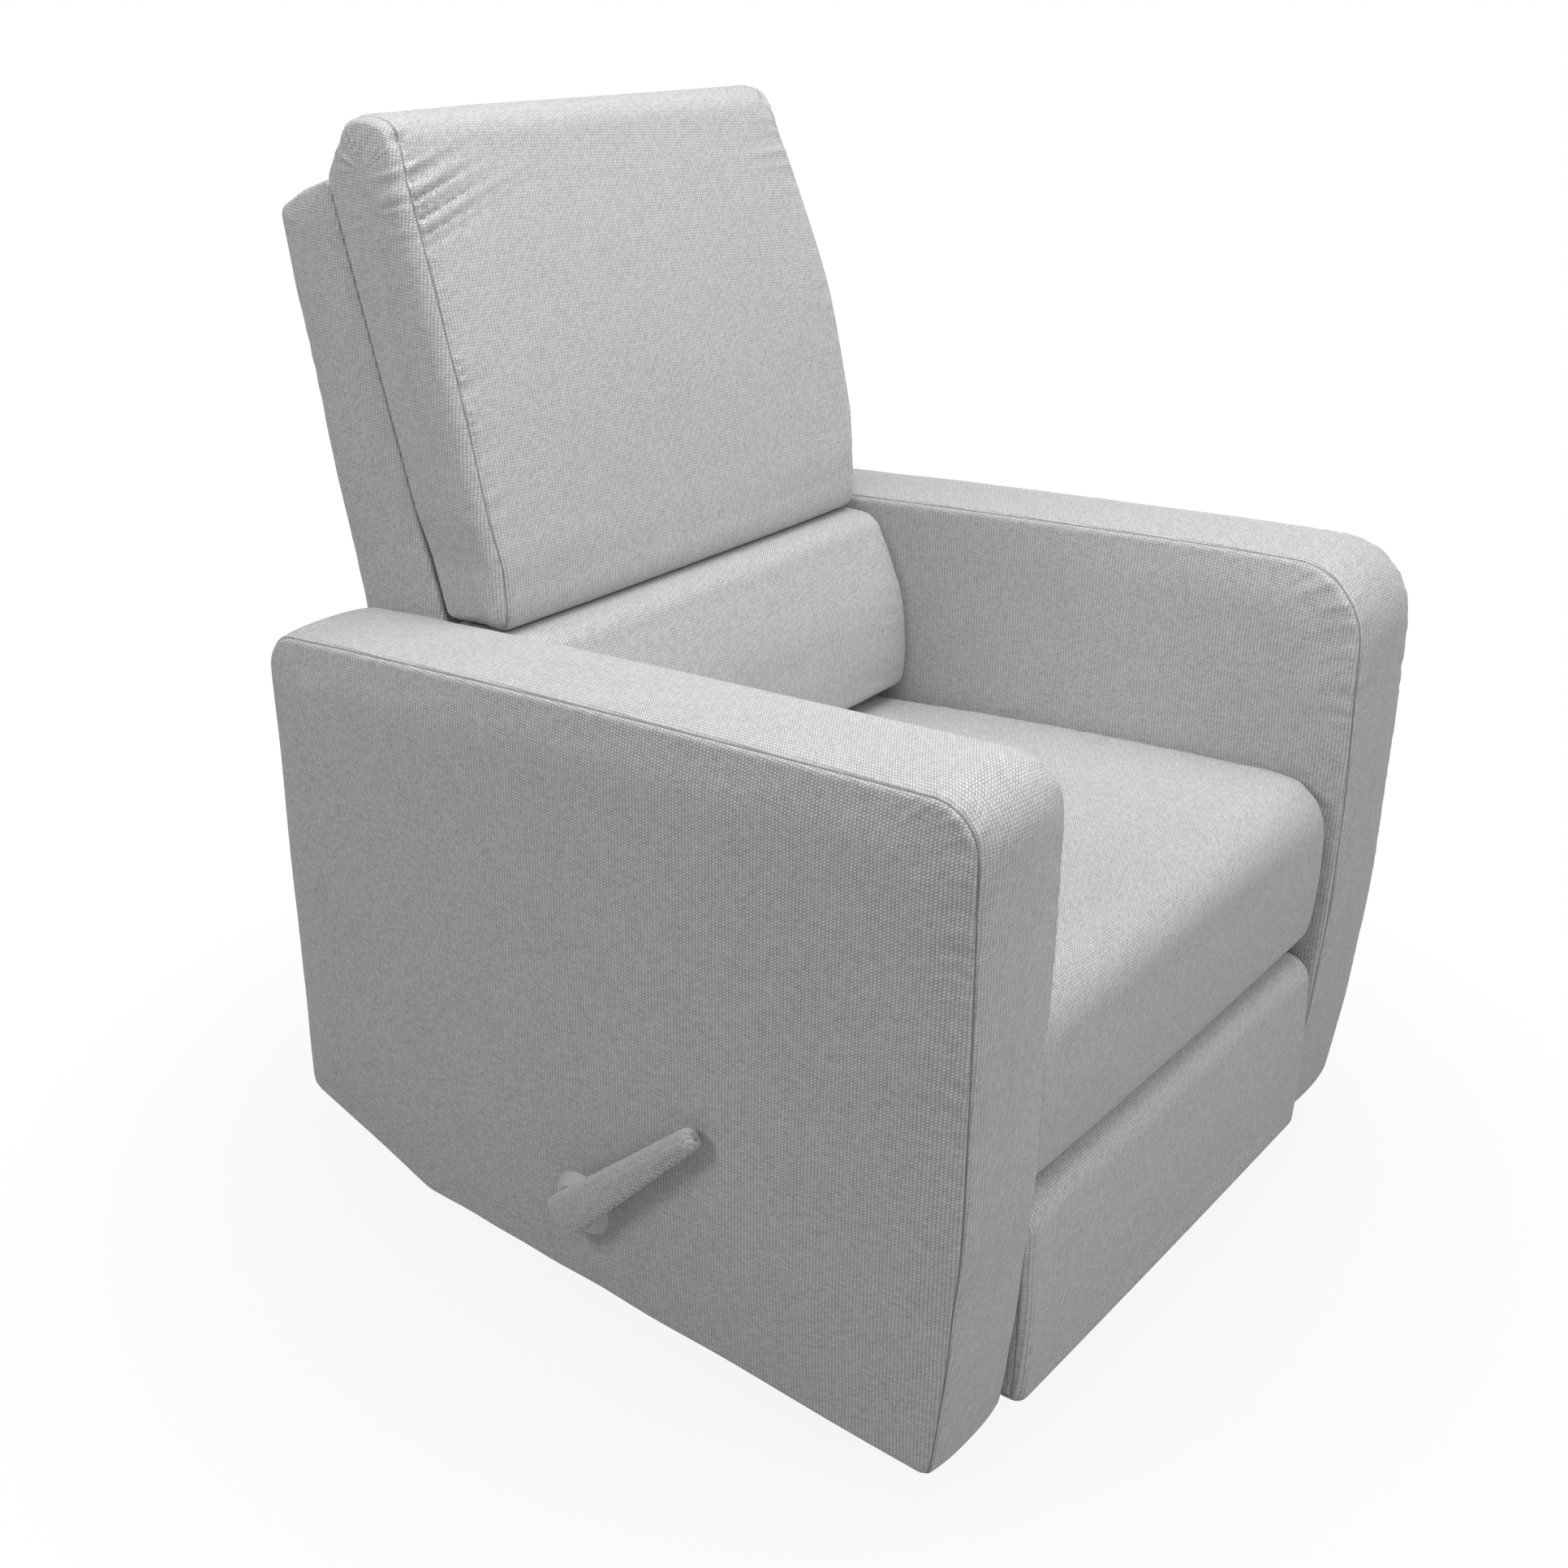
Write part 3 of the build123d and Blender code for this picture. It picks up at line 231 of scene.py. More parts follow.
def zincSteel():
    zinc = material("zinc_plate")
    place = zinc.place()
    brushed = zinc.noise(zinc.stretch(place, (300.0, 22.0, 300.0)), 1.0, 3.0)
    bloom = zinc.noise(place, 60.0, 3.0, 0.6)
    base = zinc.blend(bloom, zincPlate["blue"], zincPlate["yellow"])
    return zinc.surface(Base_Color=base, Metallic=1.0, Roughness=0.30 + brushed * 0.22,
                        Normal=zinc.relief(brushed, 0.15, 0.0001))


def planedTimber():
    timber = material("planed_timber")
    place = timber.place()
    bent = timber.noise(timber.stretch(place, (3.0, 26.0, 26.0)), 1.0, 4.0, 0.6)
    grain = (bent * pine["rings"]).math("SINE") * 0.5 + 0.5
    pores = timber.noise(timber.stretch(place, (40.0, 900.0, 900.0)), 1.0, 1.0)
    base = timber.blend(grain * 0.7 + pores * 0.2, pine["early"], pine["late"])
    return timber.surface(Base_Color=base, Roughness=0.55 + grain * 0.15,
                          Normal=timber.relief(pores, 0.2, 0.0003))


def wovenWebbing():
    webbing = material("woven_webbing")
    place = webbing.place()
    warp, weft = [
        webbing.node("ShaderNodeTexWave", {"bands_direction": way}, {"Vector": place, "Scale": scale}, 1)
        for way, scale in (("X", 190.0), ("Y", 150.0))
    ]
    base = webbing.blend(webbing.noise(place, 80.0, 3.0), strap["dark"], strap["worn"])
    return webbing.surface(Base_Color=base, Roughness=0.85, Normal=webbing.relief(warp * weft, 0.6, 0.0004))


def mouldedPlastic(name, first, second, roughness):
    plastic = material(name)
    place = plastic.place()
    stipple = plastic.noise(place, 900.0)
    base = plastic.blend(plastic.noise(place, 35.0, 3.0), first, second)
    return plastic.surface(Base_Color=base, Roughness=roughness + stipple * 0.12,
                           Normal=plastic.relief(stipple, 0.25, 0.00015))


rubber = colour(0.018, 0.018, 0.018), colour(0.035, 0.034, 0.033)
hubGrey = colour(0.42, 0.43, 0.43), colour(0.49, 0.50, 0.50)
finishes = {
    "black_steel": paintedSteel(),
    "zinc_steel": zincSteel(),
    "timber": planedTimber(),
    "webbing": wovenWebbing(),
    "floor_rubber": mouldedPlastic("floor_rubber", *rubber, 0.75),
    "grey_plastic": mouldedPlastic("grey_plastic", *hubGrey, 0.42),
    "cover_fabric": twillCover("heather_twill"),
}
for part in frame["record"]["subparts"]:
    shown = nodes[part["node"]]
    shown.data.materials.clear()
    shown.data.materials.append(finishes[part["material_slot"]])
print("finishes made")


# ---- soft steps, used for places, shares and strengths
def rise(value, start, span):
    # from 0 at the start to 1 a span further on
    return np.clip((value - start) / span, 0, 1)


def fall(value, end, span):
    # from 1 a span before the end to 0 at the end
    return np.clip((end - value) / span, 0, 1)


def near(distance, width):
    return np.exp(-(distance / width) ** 2)


def fading(distance, length):
    return np.exp(-abs(distance) / length)


def ripple(s, waves, seed):
    # an uneven wave along s, about -1 to 1, from a few sines with set phases
    chance = np.random.default_rng(seed)

    def sine(at, length):
        return np.sin(2 * math.pi * at / length + chance.uniform(0, 6.3))

    total = np.zeros_like(s)
    for length, weight in waves:
        strength = 0.6 + 0.4 * sine(s, length * chance.uniform(5, 9))
        drift = 0.35 * length * sine(s, length * chance.uniform(3, 5))
        total += weight * strength * sine(s + drift, length)
    return total


# ---- upholstery: a closed outline in y and z, swept across x, with sewn edges and side panels
def roundedLoop(corners, spacing, ease):
    # corners are (y, z, radius, bow), where bow is how far the run to the next corner swells outwards,
    # and ease is how far the joins between arcs and runs are smoothed
    ends = [np.array(corner[:2], float) for corner in corners]
    arcs = []
    for i, here in enumerate(ends):
        before, after = ends[i - 1] - here, ends[(i + 1) % len(ends)] - here
        before, after = before / np.linalg.norm(before), after / np.linalg.norm(after)
        half = math.acos(np.clip(before @ after, -1, 1)) / 2
        radius = corners[i][2]
        reach = radius / math.tan(half)
        middle = here + (before + after) / np.linalg.norm(before + after) * radius / math.sin(half)
        start, stop = here + before * reach - middle, here + after * reach - middle
        turn = math.atan2(start[0] * stop[1] - start[1] * stop[0], start @ stop)
        steps = np.linspace(0, turn, max(3, int(abs(turn) * radius / spacing) + 1))
        cos, sin = np.cos(steps), np.sin(steps)
        arc = np.column_stack([cos * start[0] - sin * start[1], sin * start[0] + cos * start[1]])
        arcs.append(middle + arc)
    points = []
    for i, arc in enumerate(arcs):
        following = arcs[(i + 1) % len(arcs)][0]
        gap = following - arc[-1]
        count = max(2, int(np.linalg.norm(gap) / spacing) + 1)
        t = np.linspace(0, 1, count)[1:-1, None]
        outward = np.array((gap[1], -gap[0])) / max(np.linalg.norm(gap), 1e-9)
        swell = corners[i][3] * 4 * t * (1 - t)
        points += [arc, arc[-1] + gap * t + outward * swell]
    loop = np.concatenate(points)
    if (loop[:, 0] * np.roll(loop[:, 1], -1) - loop[:, 1] * np.roll(loop[:, 0], -1)).sum() < 0:
        loop = loop[::-1]
    closed = np.vstack([loop, loop[:1]])
    walk = np.concatenate([[0], np.cumsum(np.linalg.norm(np.diff(closed, axis=0), axis=1))])
    even = np.linspace(0, walk[-1], int(walk[-1] / spacing) + 1)[:-1]
    evenly = np.column_stack([np.interp(even, walk, closed[:, k]) for k in (0, 1)])
    reach = np.arange(-int(3 * ease / spacing) - 1, int(3 * ease / spacing) + 2)
    weights = np.exp(-0.5 * (reach * spacing / ease) ** 2)
    weights /= weights.sum()
    return sum(weight * np.roll(evenly, int(step), 0) for step, weight in zip(reach, weights)), even


def nearestOnSpine(points, spine):
    best, found = np.full(len(points), 1e9), np.zeros_like(points)
    for start, end in zip(spine, spine[1:]):
        start, run = np.array(start, float), np.array(end, float) - np.array(start, float)
        t = np.clip((points - start) @ run / (run @ run), 0, 1)
        closest = start + t[:, None] * run
        gap = np.linalg.norm(points - closest, axis=1)
        closer = gap < best
        best[closer], found[closer] = gap[closer], closest[closer]
    return found


# how far towards the spine each row of a side panel lies
panelShares = [1, 0.86, 0.73, 0.61, 0.5, 0.4, 0.31, 0.235, 0.17, 0.12, 0.08, 0.05, 0.028, 0.012]
# rows set close about a seam, in metres, and how near to them no other row may lie
seamSteps = (-0.0045, -0.0028, -0.0016, -0.0008, 0, 0.0008, 0.0016, 0.0028, 0.0045)
seamClearance = 0.0009


def crossRows(piece):
    # rows of (x, inset, share to the spine) from the middle of one side panel to the middle of the other
    left, right, edge = piece["left"], piece["right"], piece["edge"]
    seam, crown, belly = piece["seamAngle"], piece["crown"], piece["belly"]
    fine = [seam + step / edge for step in seamSteps]
    apart = seamClearance / edge
    angles = sorted(set([a for a in np.linspace(0, math.pi / 2, 8) if min(abs(a - f) for f in fine) > apart]
                        + [a for a in fine if 0 <= a <= math.pi / 2]))
    half = []
    for share in panelShares:
        half.append((left - belly * math.sin(min(1, share * 1.6) * math.pi / 2), edge, share))
    half += [(left + edge * (1 - math.cos(a)), edge * (1 - math.sin(a)), 0) for a in angles]
    seamRow = len(panelShares) + min(range(len(angles)), key=lambda k: abs(angles[k] - seam))
    width = right - left - 2 * edge
    count = int(width / piece["step"])
    band = []
    for k in range(1, count):
        u = 2 * k / count - 1
        band.append((left + edge + width * k / count, -crown * (1 - abs(u) ** piece["fullness"]), 0))
    other = [(left + right - x, inset, share) for x, inset, share in reversed(half)]
    rows = half + band + other
    return rows, seamRow, len(rows) - 1 - seamRow


def gridFaces(rows, columns):
    # quads of a grid whose last column meets its first
    index = np.arange(rows * columns).reshape(rows, columns)
    following = np.roll(index, -1, 1)
    quads = np.stack([index[:-1], index[1:], following[1:], following[:-1]], -1)
    return quads.reshape(-1, 4).tolist()


# a piece is given by the corners of its outline with the spacing and ease of its points, its left and
# right sides, the radius of its sewn edges, the seam's angle on them, the step between the rows of its
# band with that band's crown and fullness, the belly of its side panels and the spine that they meet on
class Padding:
    # the grid of one upholstered piece: rows across x, columns round the outline
    def __init__(self, piece):
        self.piece = piece
        self.loop, self.walk = roundedLoop(piece["corners"], piece["spacing"], piece["ease"])
        tangent = np.roll(self.loop, -1, 0) - np.roll(self.loop, 1, 0)
        tangent /= np.linalg.norm(tangent, axis=1)[:, None]
        self.outward = np.column_stack([tangent[:, 1], -tangent[:, 0]])
        rows, self.firstSeam, self.lastSeam = crossRows(piece)
        roundness = piece["roundness"](*self.loop.T) if "roundness" in piece else np.ones(len(self.loop))
        cells = []
        for x, inset, share in rows:
            flat = self.loop - self.outward * (inset * roundness[:, None])
            if share:
                flat = flat * (1 - share) + nearestOnSpine(self.loop, piece["spine"]) * share
            cells.append(np.column_stack([np.full(len(flat), x), flat]))
        self.points = np.array(cells)
        self.shares = np.array([row[2] for row in rows])
        order = np.arange(len(rows))
        self.onPanel = (order <= self.firstSeam) | (order >= self.lastSeam)
        across = np.linalg.norm(np.diff(self.points, axis=0), axis=2)
        if "panelBelly" in piece:
            inside = np.clip(self.shares / 0.12, 0, 1)[:, None]
            for panel, way in ((slice(0, self.firstSeam), -1), (slice(self.lastSeam + 1, None), 1)):
                at = self.points[panel]
                full = piece["panelBelly"](way, at[..., 1], at[..., 2])
                self.points[panel, :, 0] += way * full * inside[panel]
        self.across = np.vstack([np.zeros(across.shape[1]), np.cumsum(across, axis=0)])
        first, last = self.across - self.across[self.firstSeam], self.across - self.across[self.lastSeam]
        self.seamDistance = np.where(abs(first) < abs(last), first, last)
        self.onFirst = abs(first) < abs(last)
        self.rest = self.points.copy()

    def places(self):
        # x, y and z, which follow the points when they move
        return [self.points[..., k] for k in range(3)]

    def lengths(self):
        # distance from the nearer seam, and round the outline
        return self.seamDistance, np.broadcast_to(self.walk, self.seamDistance.shape)

    def normals(self):
        alongX = np.gradient(self.points, axis=0)
        aroundLoop = np.roll(self.points, -1, 1) - np.roll(self.points, 1, 1)
        facing = -np.cross(alongX, aroundLoop)
        facing /= np.maximum(np.linalg.norm(facing, axis=2, keepdims=True), 1e-9)
        middle = rise(self.shares, 0.06, 0.2)[:, None, None]
        sides = np.zeros_like(facing)
        sides[:self.firstSeam + 1, :, 0], sides[self.lastSeam:, :, 0] = -1, 1
        return facing * (1 - middle) + sides * middle

    def push(self, amount):
        # the inner part of a side panel stays, so that its two halves still meet on the spine
        self.points += self.normals() * (amount * fall(self.shares, 1, 0.5)[:, None])[..., None]

    def sewSeams(self, depth, width, roll=0.0, reach=0.012):
        # a groove along each seam, with a soft roll on both sides of it
        d = self.seamDistance
        self.push(-depth * near(d, width) + roll * (abs(d) / reach) * np.exp(1 - abs(d) / reach))

    def weave(self):
        # where the cloth's own pattern lies: level on the side panels, and along the band between them
        if "slant" in self.piece:       # one cloth wrapped round, with no seam to change direction at
            return self.rest[:, :, (1, 2, 0)] + self.piece["slant"] * self.rest[:, :, :1]
        cloth = np.zeros_like(self.rest)
        cloth[self.onPanel] = self.rest[self.onPanel][:, :, (1, 2, 0)]
        cloth[~self.onPanel, :, 0] = self.rest[~self.onPanel][:, :, 0]
        cloth[~self.onPanel, :, 1] = self.walk
        # the rolled edges of a side panel are laid out flat, so their weave keeps its size
        flatRows = len(panelShares)
        farEdge = len(self.rest) - flatRows
        for first, last, edge in ((flatRows, self.firstSeam + 1, flatRows),
                                  (self.lastSeam, farEdge, farEdge - 1)):
            turned = abs(self.across[first:last] - self.across[edge])[..., None]
            cloth[first:last, :, :2] = self.rest[edge, :, 1:] + self.outward * turned
        return cloth

    def write(self, name):
        mesh = bpy.data.meshes.new(name)
        mesh.from_pydata(self.points.reshape(-1, 3).tolist(), [], gridFaces(*self.points.shape[:2]))
        attribute = mesh.attributes.new("weave", "FLOAT_VECTOR", "POINT")
        attribute.data.foreach_set("vector", self.weave().astype(np.float32).reshape(-1))
        distance = mesh.attributes.new("seamDistance", "FLOAT", "POINT")
        distance.data.foreach_set("value", self.seamDistance.astype(np.float32).reshape(-1))
        mesh.materials.append(finishes["cover_fabric"])
        mesh.validate()
        mesh.shade_smooth()
        made = bpy.data.objects.new(name, mesh)
        bpy.context.scene.collection.objects.link(made)
        return made


clothRun = {
    "cell": 0.010,          # metres between the points of the simulated grid
    "lastShare": 0.65,      # rows nearer to the spine than this are left out
    "frames": 20,
    "stiffness": 18,
    "shear": 6,
    "bending": 0.8,
    "quality": 4,
    "smoothing": 8,         # times that the swelling is evened out
}


def blowUp(start, strength, pressure):
    # runs the cloth on a grid of points, and gives how far each has moved
    rows, count = start.shape[:2]
    mesh = bpy.data.meshes.new("swelling")
    mesh.from_pydata(start.reshape(-1, 3).tolist(), [], gridFaces(rows, count))
    mesh.validate()
    body = bpy.data.objects.new("swelling", mesh)
    scene = bpy.context.scene
    scene.collection.objects.link(body)
    pinned = body.vertex_groups.new(name="held")
    for vertex in np.nonzero(strength > 0.01)[0]:
        pinned.add([int(vertex)], float(strength[vertex]), "REPLACE")
    cloth = body.modifiers.new("Cloth", "CLOTH").settings
    cloth.use_pressure = True
    cloth.uniform_pressure_force = pressure
    cloth.effector_weights.gravity = 0
    cloth.vertex_group_mass = "held"
    cloth.tension_stiffness = clothRun["stiffness"]
    cloth.compression_stiffness = clothRun["stiffness"]
    cloth.shear_stiffness = clothRun["shear"]
    cloth.bending_stiffness = clothRun["bending"]
    cloth.quality = clothRun["quality"]
    for moment in range(1, clothRun["frames"] + 1):
        scene.frame_set(moment)
    result = body.evaluated_get(bpy.context.evaluated_depsgraph_get())
    swollen = np.zeros(rows * count * 3)
    result.data.vertices.foreach_get("co", swollen)
    scene.frame_set(1)
    bpy.data.objects.remove(body)
    return swollen.reshape(rows, count, 3) - start


def inflate(padding, pressure, cap, held):
    # cloth simulation on a coarser copy of the grid; the fine grid then follows it
    cell = clothRun["cell"]
    mean = padding.across.mean(1)
    opened = np.nonzero(padding.shares < clothRun["lastShare"])[0]
    keep = [int(opened[0])]
    for row in opened[1:]:
        if mean[row] - mean[keep[-1]] >= cell * 0.75:
            keep.append(int(row))
    keep[-1] = int(opened[-1])
    every = max(1, round(cell / padding.piece["spacing"]))
    columns = np.arange(0, padding.points.shape[1], every)
    strength = held(padding)[np.ix_(keep, columns)]
    strength[[0, -1]] = 1
    moved = blowUp(padding.points[np.ix_(keep, columns)], strength.reshape(-1), pressure)
    for again in range(clothRun["smoothing"]):
        moved = (np.roll(moved, 1, 1) + 2 * moved + np.roll(moved, -1, 1)) / 4
        moved[1:-1] = (moved[:-2] + 2 * moved[1:-1] + moved[2:]) / 4
    furthest = np.linalg.norm(moved, axis=2).max()
    moved *= min(1, cap / max(furthest, 1e-9))
    loop = np.append(columns, padding.points.shape[1])
    moved = np.concatenate([moved, moved[:, :1]], 1)
    fineColumns = np.arange(padding.points.shape[1])
    for axis in range(3):
        wide = np.array([np.interp(fineColumns, loop, line) for line in moved[:, :, axis]])
        fine = [np.interp(mean, mean[keep], wide[:, column]) for column in fineColumns]
        padding.points[:, :, axis] += np.array(fine).T
    print("  swelled by up to %.1f mm, kept to %.1f mm" % (1000 * furthest, 1000 * min(cap, furthest)))


def dress(piece, body, node):
    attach(piece, body)
    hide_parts(node)


# ---- arms: one band over the top and down the front, sewn to a panel on each side
armLow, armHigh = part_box("arm_pad_left")
hubLow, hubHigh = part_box("lever_hub")
pivot = np.array([(hubLow.y + hubHigh.y) / 2, (hubLow.z + hubHigh.z) / 2])
arm = {
    "frontInset": 0.0026,      # the upright run of the front, behind the solid's swell
    "frontLean": 0.027,        # the front foot stands this far behind that run
    "kneeHeight": 0.245,       # where the front starts to lean back to its foot
    "kneeRadius": 1.3,
    "frontHeight": 0.609,      # foot to the top of the nose
    "noseRadius": {"left": 0.074, "right": 0.038},
    "topBow": 0.003,
    "rearDrop": 0.042,
    "rearLean": 0.020,
    "rearRadius": 0.038,
    "heelHeight": 0.070,
    "heelStart": 0.172,
    "heelDrop": 0.014,
    "heelRadius": 0.03,
    "edge": 0.0085,
    "spread": 0.0012,          # each side stands this far outside the solid
    "seamDepth": 0.0007,
    "outerFullness": 0.0060,   # how far the panels swell
    "innerFullness": 0.0012,
    "frontFullness": 0.0048,   # and the inner one more, above the seat
    "pivotReach": 0.06,        # the outer panel lies close about the lever's shaft
    "seatLevel": 0.40,
    "fullFrom": -0.06,         # the inner panel is fuller forward of here
    "noseHeight": 0.60,        # places above the foot, where the nose swells and where it wrinkles most
    "wrinkleHeight": 0.55,
    "innerSwell": 0.0095,      # the front swells inwards above the seat
    "noseSwell": 0.0035,
    "wrinkles": {"even": 0.0001, "nose": 0.0018, "front": 0.0007},
    "softness": 0.0008,
    # lengths and weights of the folds along the seams, and of the slow waves of the padding
    "folds": ((0.021, 0.6), (0.034, 0.5), (0.014, 0.3)),
    "waves": ((0.21, 0.6), (0.13, 0.4)),
}


def armCorners(side):
    front, rear, foot = armLow.y + arm["frontInset"], armHigh.y, armLow.z
    top = foot + arm["frontHeight"]
    return [
        (rear, foot + arm["heelHeight"], 0.015, 0.0),
        (rear - arm["rearLean"], top - arm["rearDrop"], arm["rearRadius"], arm["topBow"]),
        (front, top, arm["noseRadius"][side], 0.0008),
        (front + 0.0008, foot + arm["kneeHeight"], arm["kneeRadius"], 0.002),
        (front + arm["frontLean"], foot, 0.008, 0.0),
        (rear - arm["heelStart"], foot + arm["heelDrop"], arm["heelRadius"], 0.0),
    ]


def armFullness(outward):
    # the outer panel is full all over but for the pivot, the inner one only above the seat at the front
    def fullness(way, y, z):
        if way == outward:
            held = 1 - near(np.hypot(y - pivot[0], z - pivot[1]), arm["pivotReach"])
            return arm["outerFullness"] * rise(z, armLow.z, 0.14) * (held if way < 0 else 1)
        atFront = fall(y, arm["fullFrom"], 0.22) * rise(z, arm["seatLevel"] + 0.02, 0.10)
        return arm["innerFullness"] + arm["frontFullness"] * atFront
    return fullness


def makeArm(side, seed):
    low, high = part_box("arm_pad_" + side)
    left, right = low.x - arm["spread"], high.x + arm["spread"]
    outward = 1 if low.x > 0 else -1
    padding = Padding({
        "corners": armCorners(side), "spacing": 0.0033, "ease": 0.004,
        "left": left, "right": right, "edge": arm["edge"], "step": 0.0062,
        "seamAngle": math.radians(52), "crown": 0.0034, "fullness": 2.4, "belly": 0.0010,
        "panelBelly": armFullness(outward),
        "spine": [(armLow.y + 0.29, armLow.z + 0.30), (armHigh.y - 0.27, armLow.z + 0.28)],
    })
    x, y, z = padding.places()
    d, s = padding.lengths()
    toInside = np.clip(-outward * (x - (left + right) / 2) / (right - left) * 2, 0, 1) ** 1.5
    inFront = near(y - armLow.y, 0.13) * rise(z, arm["seatLevel"], 0.12)
    x -= outward * arm["innerSwell"] * toInside * inFront * fall(z, armHigh.z + 0.02, 0.05)
    wrinkled = near(y - armLow.y - 0.02, 0.09) * near(z - armLow.z - arm["wrinkleHeight"], 0.12)
    atFront = near(y - armLow.y - 0.01, 0.07) * rise(z, armLow.z + 0.1, 0.2)
    onBand = np.sin(np.clip((x - left) / (right - left), 0, 1) * math.pi)
    nose = near(y - armLow.y, 0.07) * near(z - armLow.z - arm["noseHeight"], 0.08)
    padding.push(onBand * arm["noseSwell"] * nose)
    folds = ripple(s + 0.55 * abs(d), arm["folds"], seed)
    reach = fading(d, np.where(padding.onPanel, 0.034, 0.014)[:, None]) * (1 - fading(d, 0.005))
    waves = ripple(s, arm["waves"], seed + 9) * fading(d, 0.10)
    wrinkles = arm["wrinkles"]
    depth = wrinkles["even"] + wrinkles["nose"] * wrinkled + wrinkles["front"] * atFront
    padding.push(folds * reach * depth + waves * arm["softness"])
    padding.sewSeams(arm["seamDepth"], 0.0015, roll=0.0004, reach=0.009)
    dress(padding.write("arm_cover_" + side), "chair", "arm_pad_" + side)


makeArm("left", 3)
makeArm("right", 8)
print("arms sewn")


# ---- outside back
shellLow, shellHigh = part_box("back_shell")
shell = {
    "frontSlope": 0.264,
    "rearSlope": 0.176,
    "topDrop": 0.030,       # the rear top edge lies this much below the front one
    "edge": 0.009,
    "spread": 0.0025,
    "rearPadding": 0.003,
    "waist": 0.430,         # height above the floor below which it is narrow enough for the arms
    "waistHalf": 0.244,
    "shoulder": 0.008,      # height of the step at the waist
    "wrinkles": 0.0006,
    "softness": 0.0008,
    "folds": ((0.034, 0.5), (0.055, 0.5)),
    "waves": ((0.26, 0.7), (0.16, 0.4)),
}


def shellFront(z):
    # y of the shell's front face, which the pillow and the lumbar cushion rest on
    top = shellLow.y + (shellHigh.z - shellLow.z) * shell["frontSlope"]
    return top - (shellHigh.z - z) * shell["frontSlope"]


def shellRear(z):
    return shellHigh.y - (shellHigh.z - z) * shell["rearSlope"]


def shellRoundness(y, z):
    # hardly rounded where the pillow lies against it
    return 0.35 + 0.65 * rise(y - shellFront(z), 0.01, 0.02)


def makeShell():
    top, foot = shellHigh.z, shellLow.z
    padding = Padding({
        "corners": [
            (shellFront(foot) + 0.001, foot, 0.006, 0.0),
            (shellRear(foot) + shell["rearPadding"], foot, 0.010, 0.002),
            (shellRear(top) + shell["rearPadding"], top - shell["topDrop"], 0.013, 0.0025),
            (shellFront(top) + 0.001, top, 0.006, 0.0),
        ],
        "spacing": 0.0038, "ease": 0.004, "roundness": shellRoundness,
        "left": shellLow.x - shell["spread"], "right": shellHigh.x + shell["spread"],
        "edge": shell["edge"], "step": 0.010,
        "seamAngle": math.radians(70), "crown": 0.0015, "fullness": 4.0, "belly": 0.0025,
        "spine": [(shellFront(foot) + 0.075, foot + 0.085), (shellFront(top) + 0.042, top - 0.045)],
    })
    x, z = padding.places()[::2]
    d, s = padding.lengths()
    belowWaist = fall(z, shell["waist"] + shell["shoulder"] / 2, shell["shoulder"])
    x *= 1 - (shellHigh.x - shell["waistHalf"]) * belowWaist / shellHigh.x
    folds = ripple(s, shell["folds"], 21) * fading(d, 0.03)
    padding.push(folds * shell["wrinkles"] + ripple(s, shell["waves"], 5) * shell["softness"])
    padding.sewSeams(0.0010, 0.0018, roll=0.0004, reach=0.008)
    dress(padding.write("outside_back"), "back", "back_shell")


makeShell()
print("outside back made")


# ---- pillow: its front panel wraps over the top, and a gusset closes each side
pillowLow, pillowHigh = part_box("back_pillow")
pillow = {
    "spread": 0.0050,       # each side stands this far outside the solid above the arms
    "footDrop": 0.002,
    "topRise": 0.0045,      # the padded top stands above the solid
    "lipHeight": 0.064,     # upright stretch above the front foot
    "lipRadius": 0.20,
    "footRadius": 0.016,
    "noseRadius": 0.030,
    "rearRadius": 0.020,
    "topDepth": 0.087,      # nose of the top, forward of the outside back
    "rearLean": 0.031,
    "frontBow": 0.0040,
    "edge": 0.019,
    "pressure": 3.0,
    "swelling": 0.0055,
    # shares of the height: where the arms hold it, where each corner starts to draw in, the deepest folds
    "armShare": 0.24, "drawnFrom": {"left": 0.50, "right": 0.86}, "foldShare": 0.86,
    "narrowing": 0.017,     # share of the width that it loses between the arms
    "leftSwell": 0.003,
    "drawn": {"left": 0.036, "right": 0.006},   # how far the top corners are drawn in
    "drawnBack": 0.014,     # and how far back, on the sitter's left
    "slump": 0.0075,        # the top sinks by this much towards the sitter's left
    "wrinkles": 0.0078,
    "gussetWrinkles": 0.0038,
    "softness": 0.0010,
    "folds": ((0.017, 0.6), (0.026, 0.5), (0.011, 0.35)),
    "waves": ((0.17, 0.6), (0.27, 0.5)),
    "notchDrop": 0.018,     # the pinched end of the top seam, below the top
    "notchDepth": 0.005,
}
pillowFoot, pillowTop = pillowLow.z - pillow["footDrop"], pillowHigh.z + pillow["topRise"]
pillowBehind = shellFront(shellHigh.z)
pillowNose = pillowBehind - pillow["topDepth"]


def pillowRoundness(y, z):
    # square against the outside back and soft in front, less so at the top
    return 0.3 + 0.7 * rise(shellFront(z) - y, 0.02, 0.03) * np.clip((pillowTop - z) / 0.05, 0.15, 1)


def backHeld(padding):
    # the rear, the sewn edges and nearly all of the sides keep their place
    y, z = padding.places()[1:]
    behind = np.clip(1 - (shellFront(z) - y) / 0.02, 0, 1)
    sides = 0.97 * padding.onPanel[:, None]
    return np.maximum(np.maximum(behind, near(padding.seamDistance, 0.008)), sides)


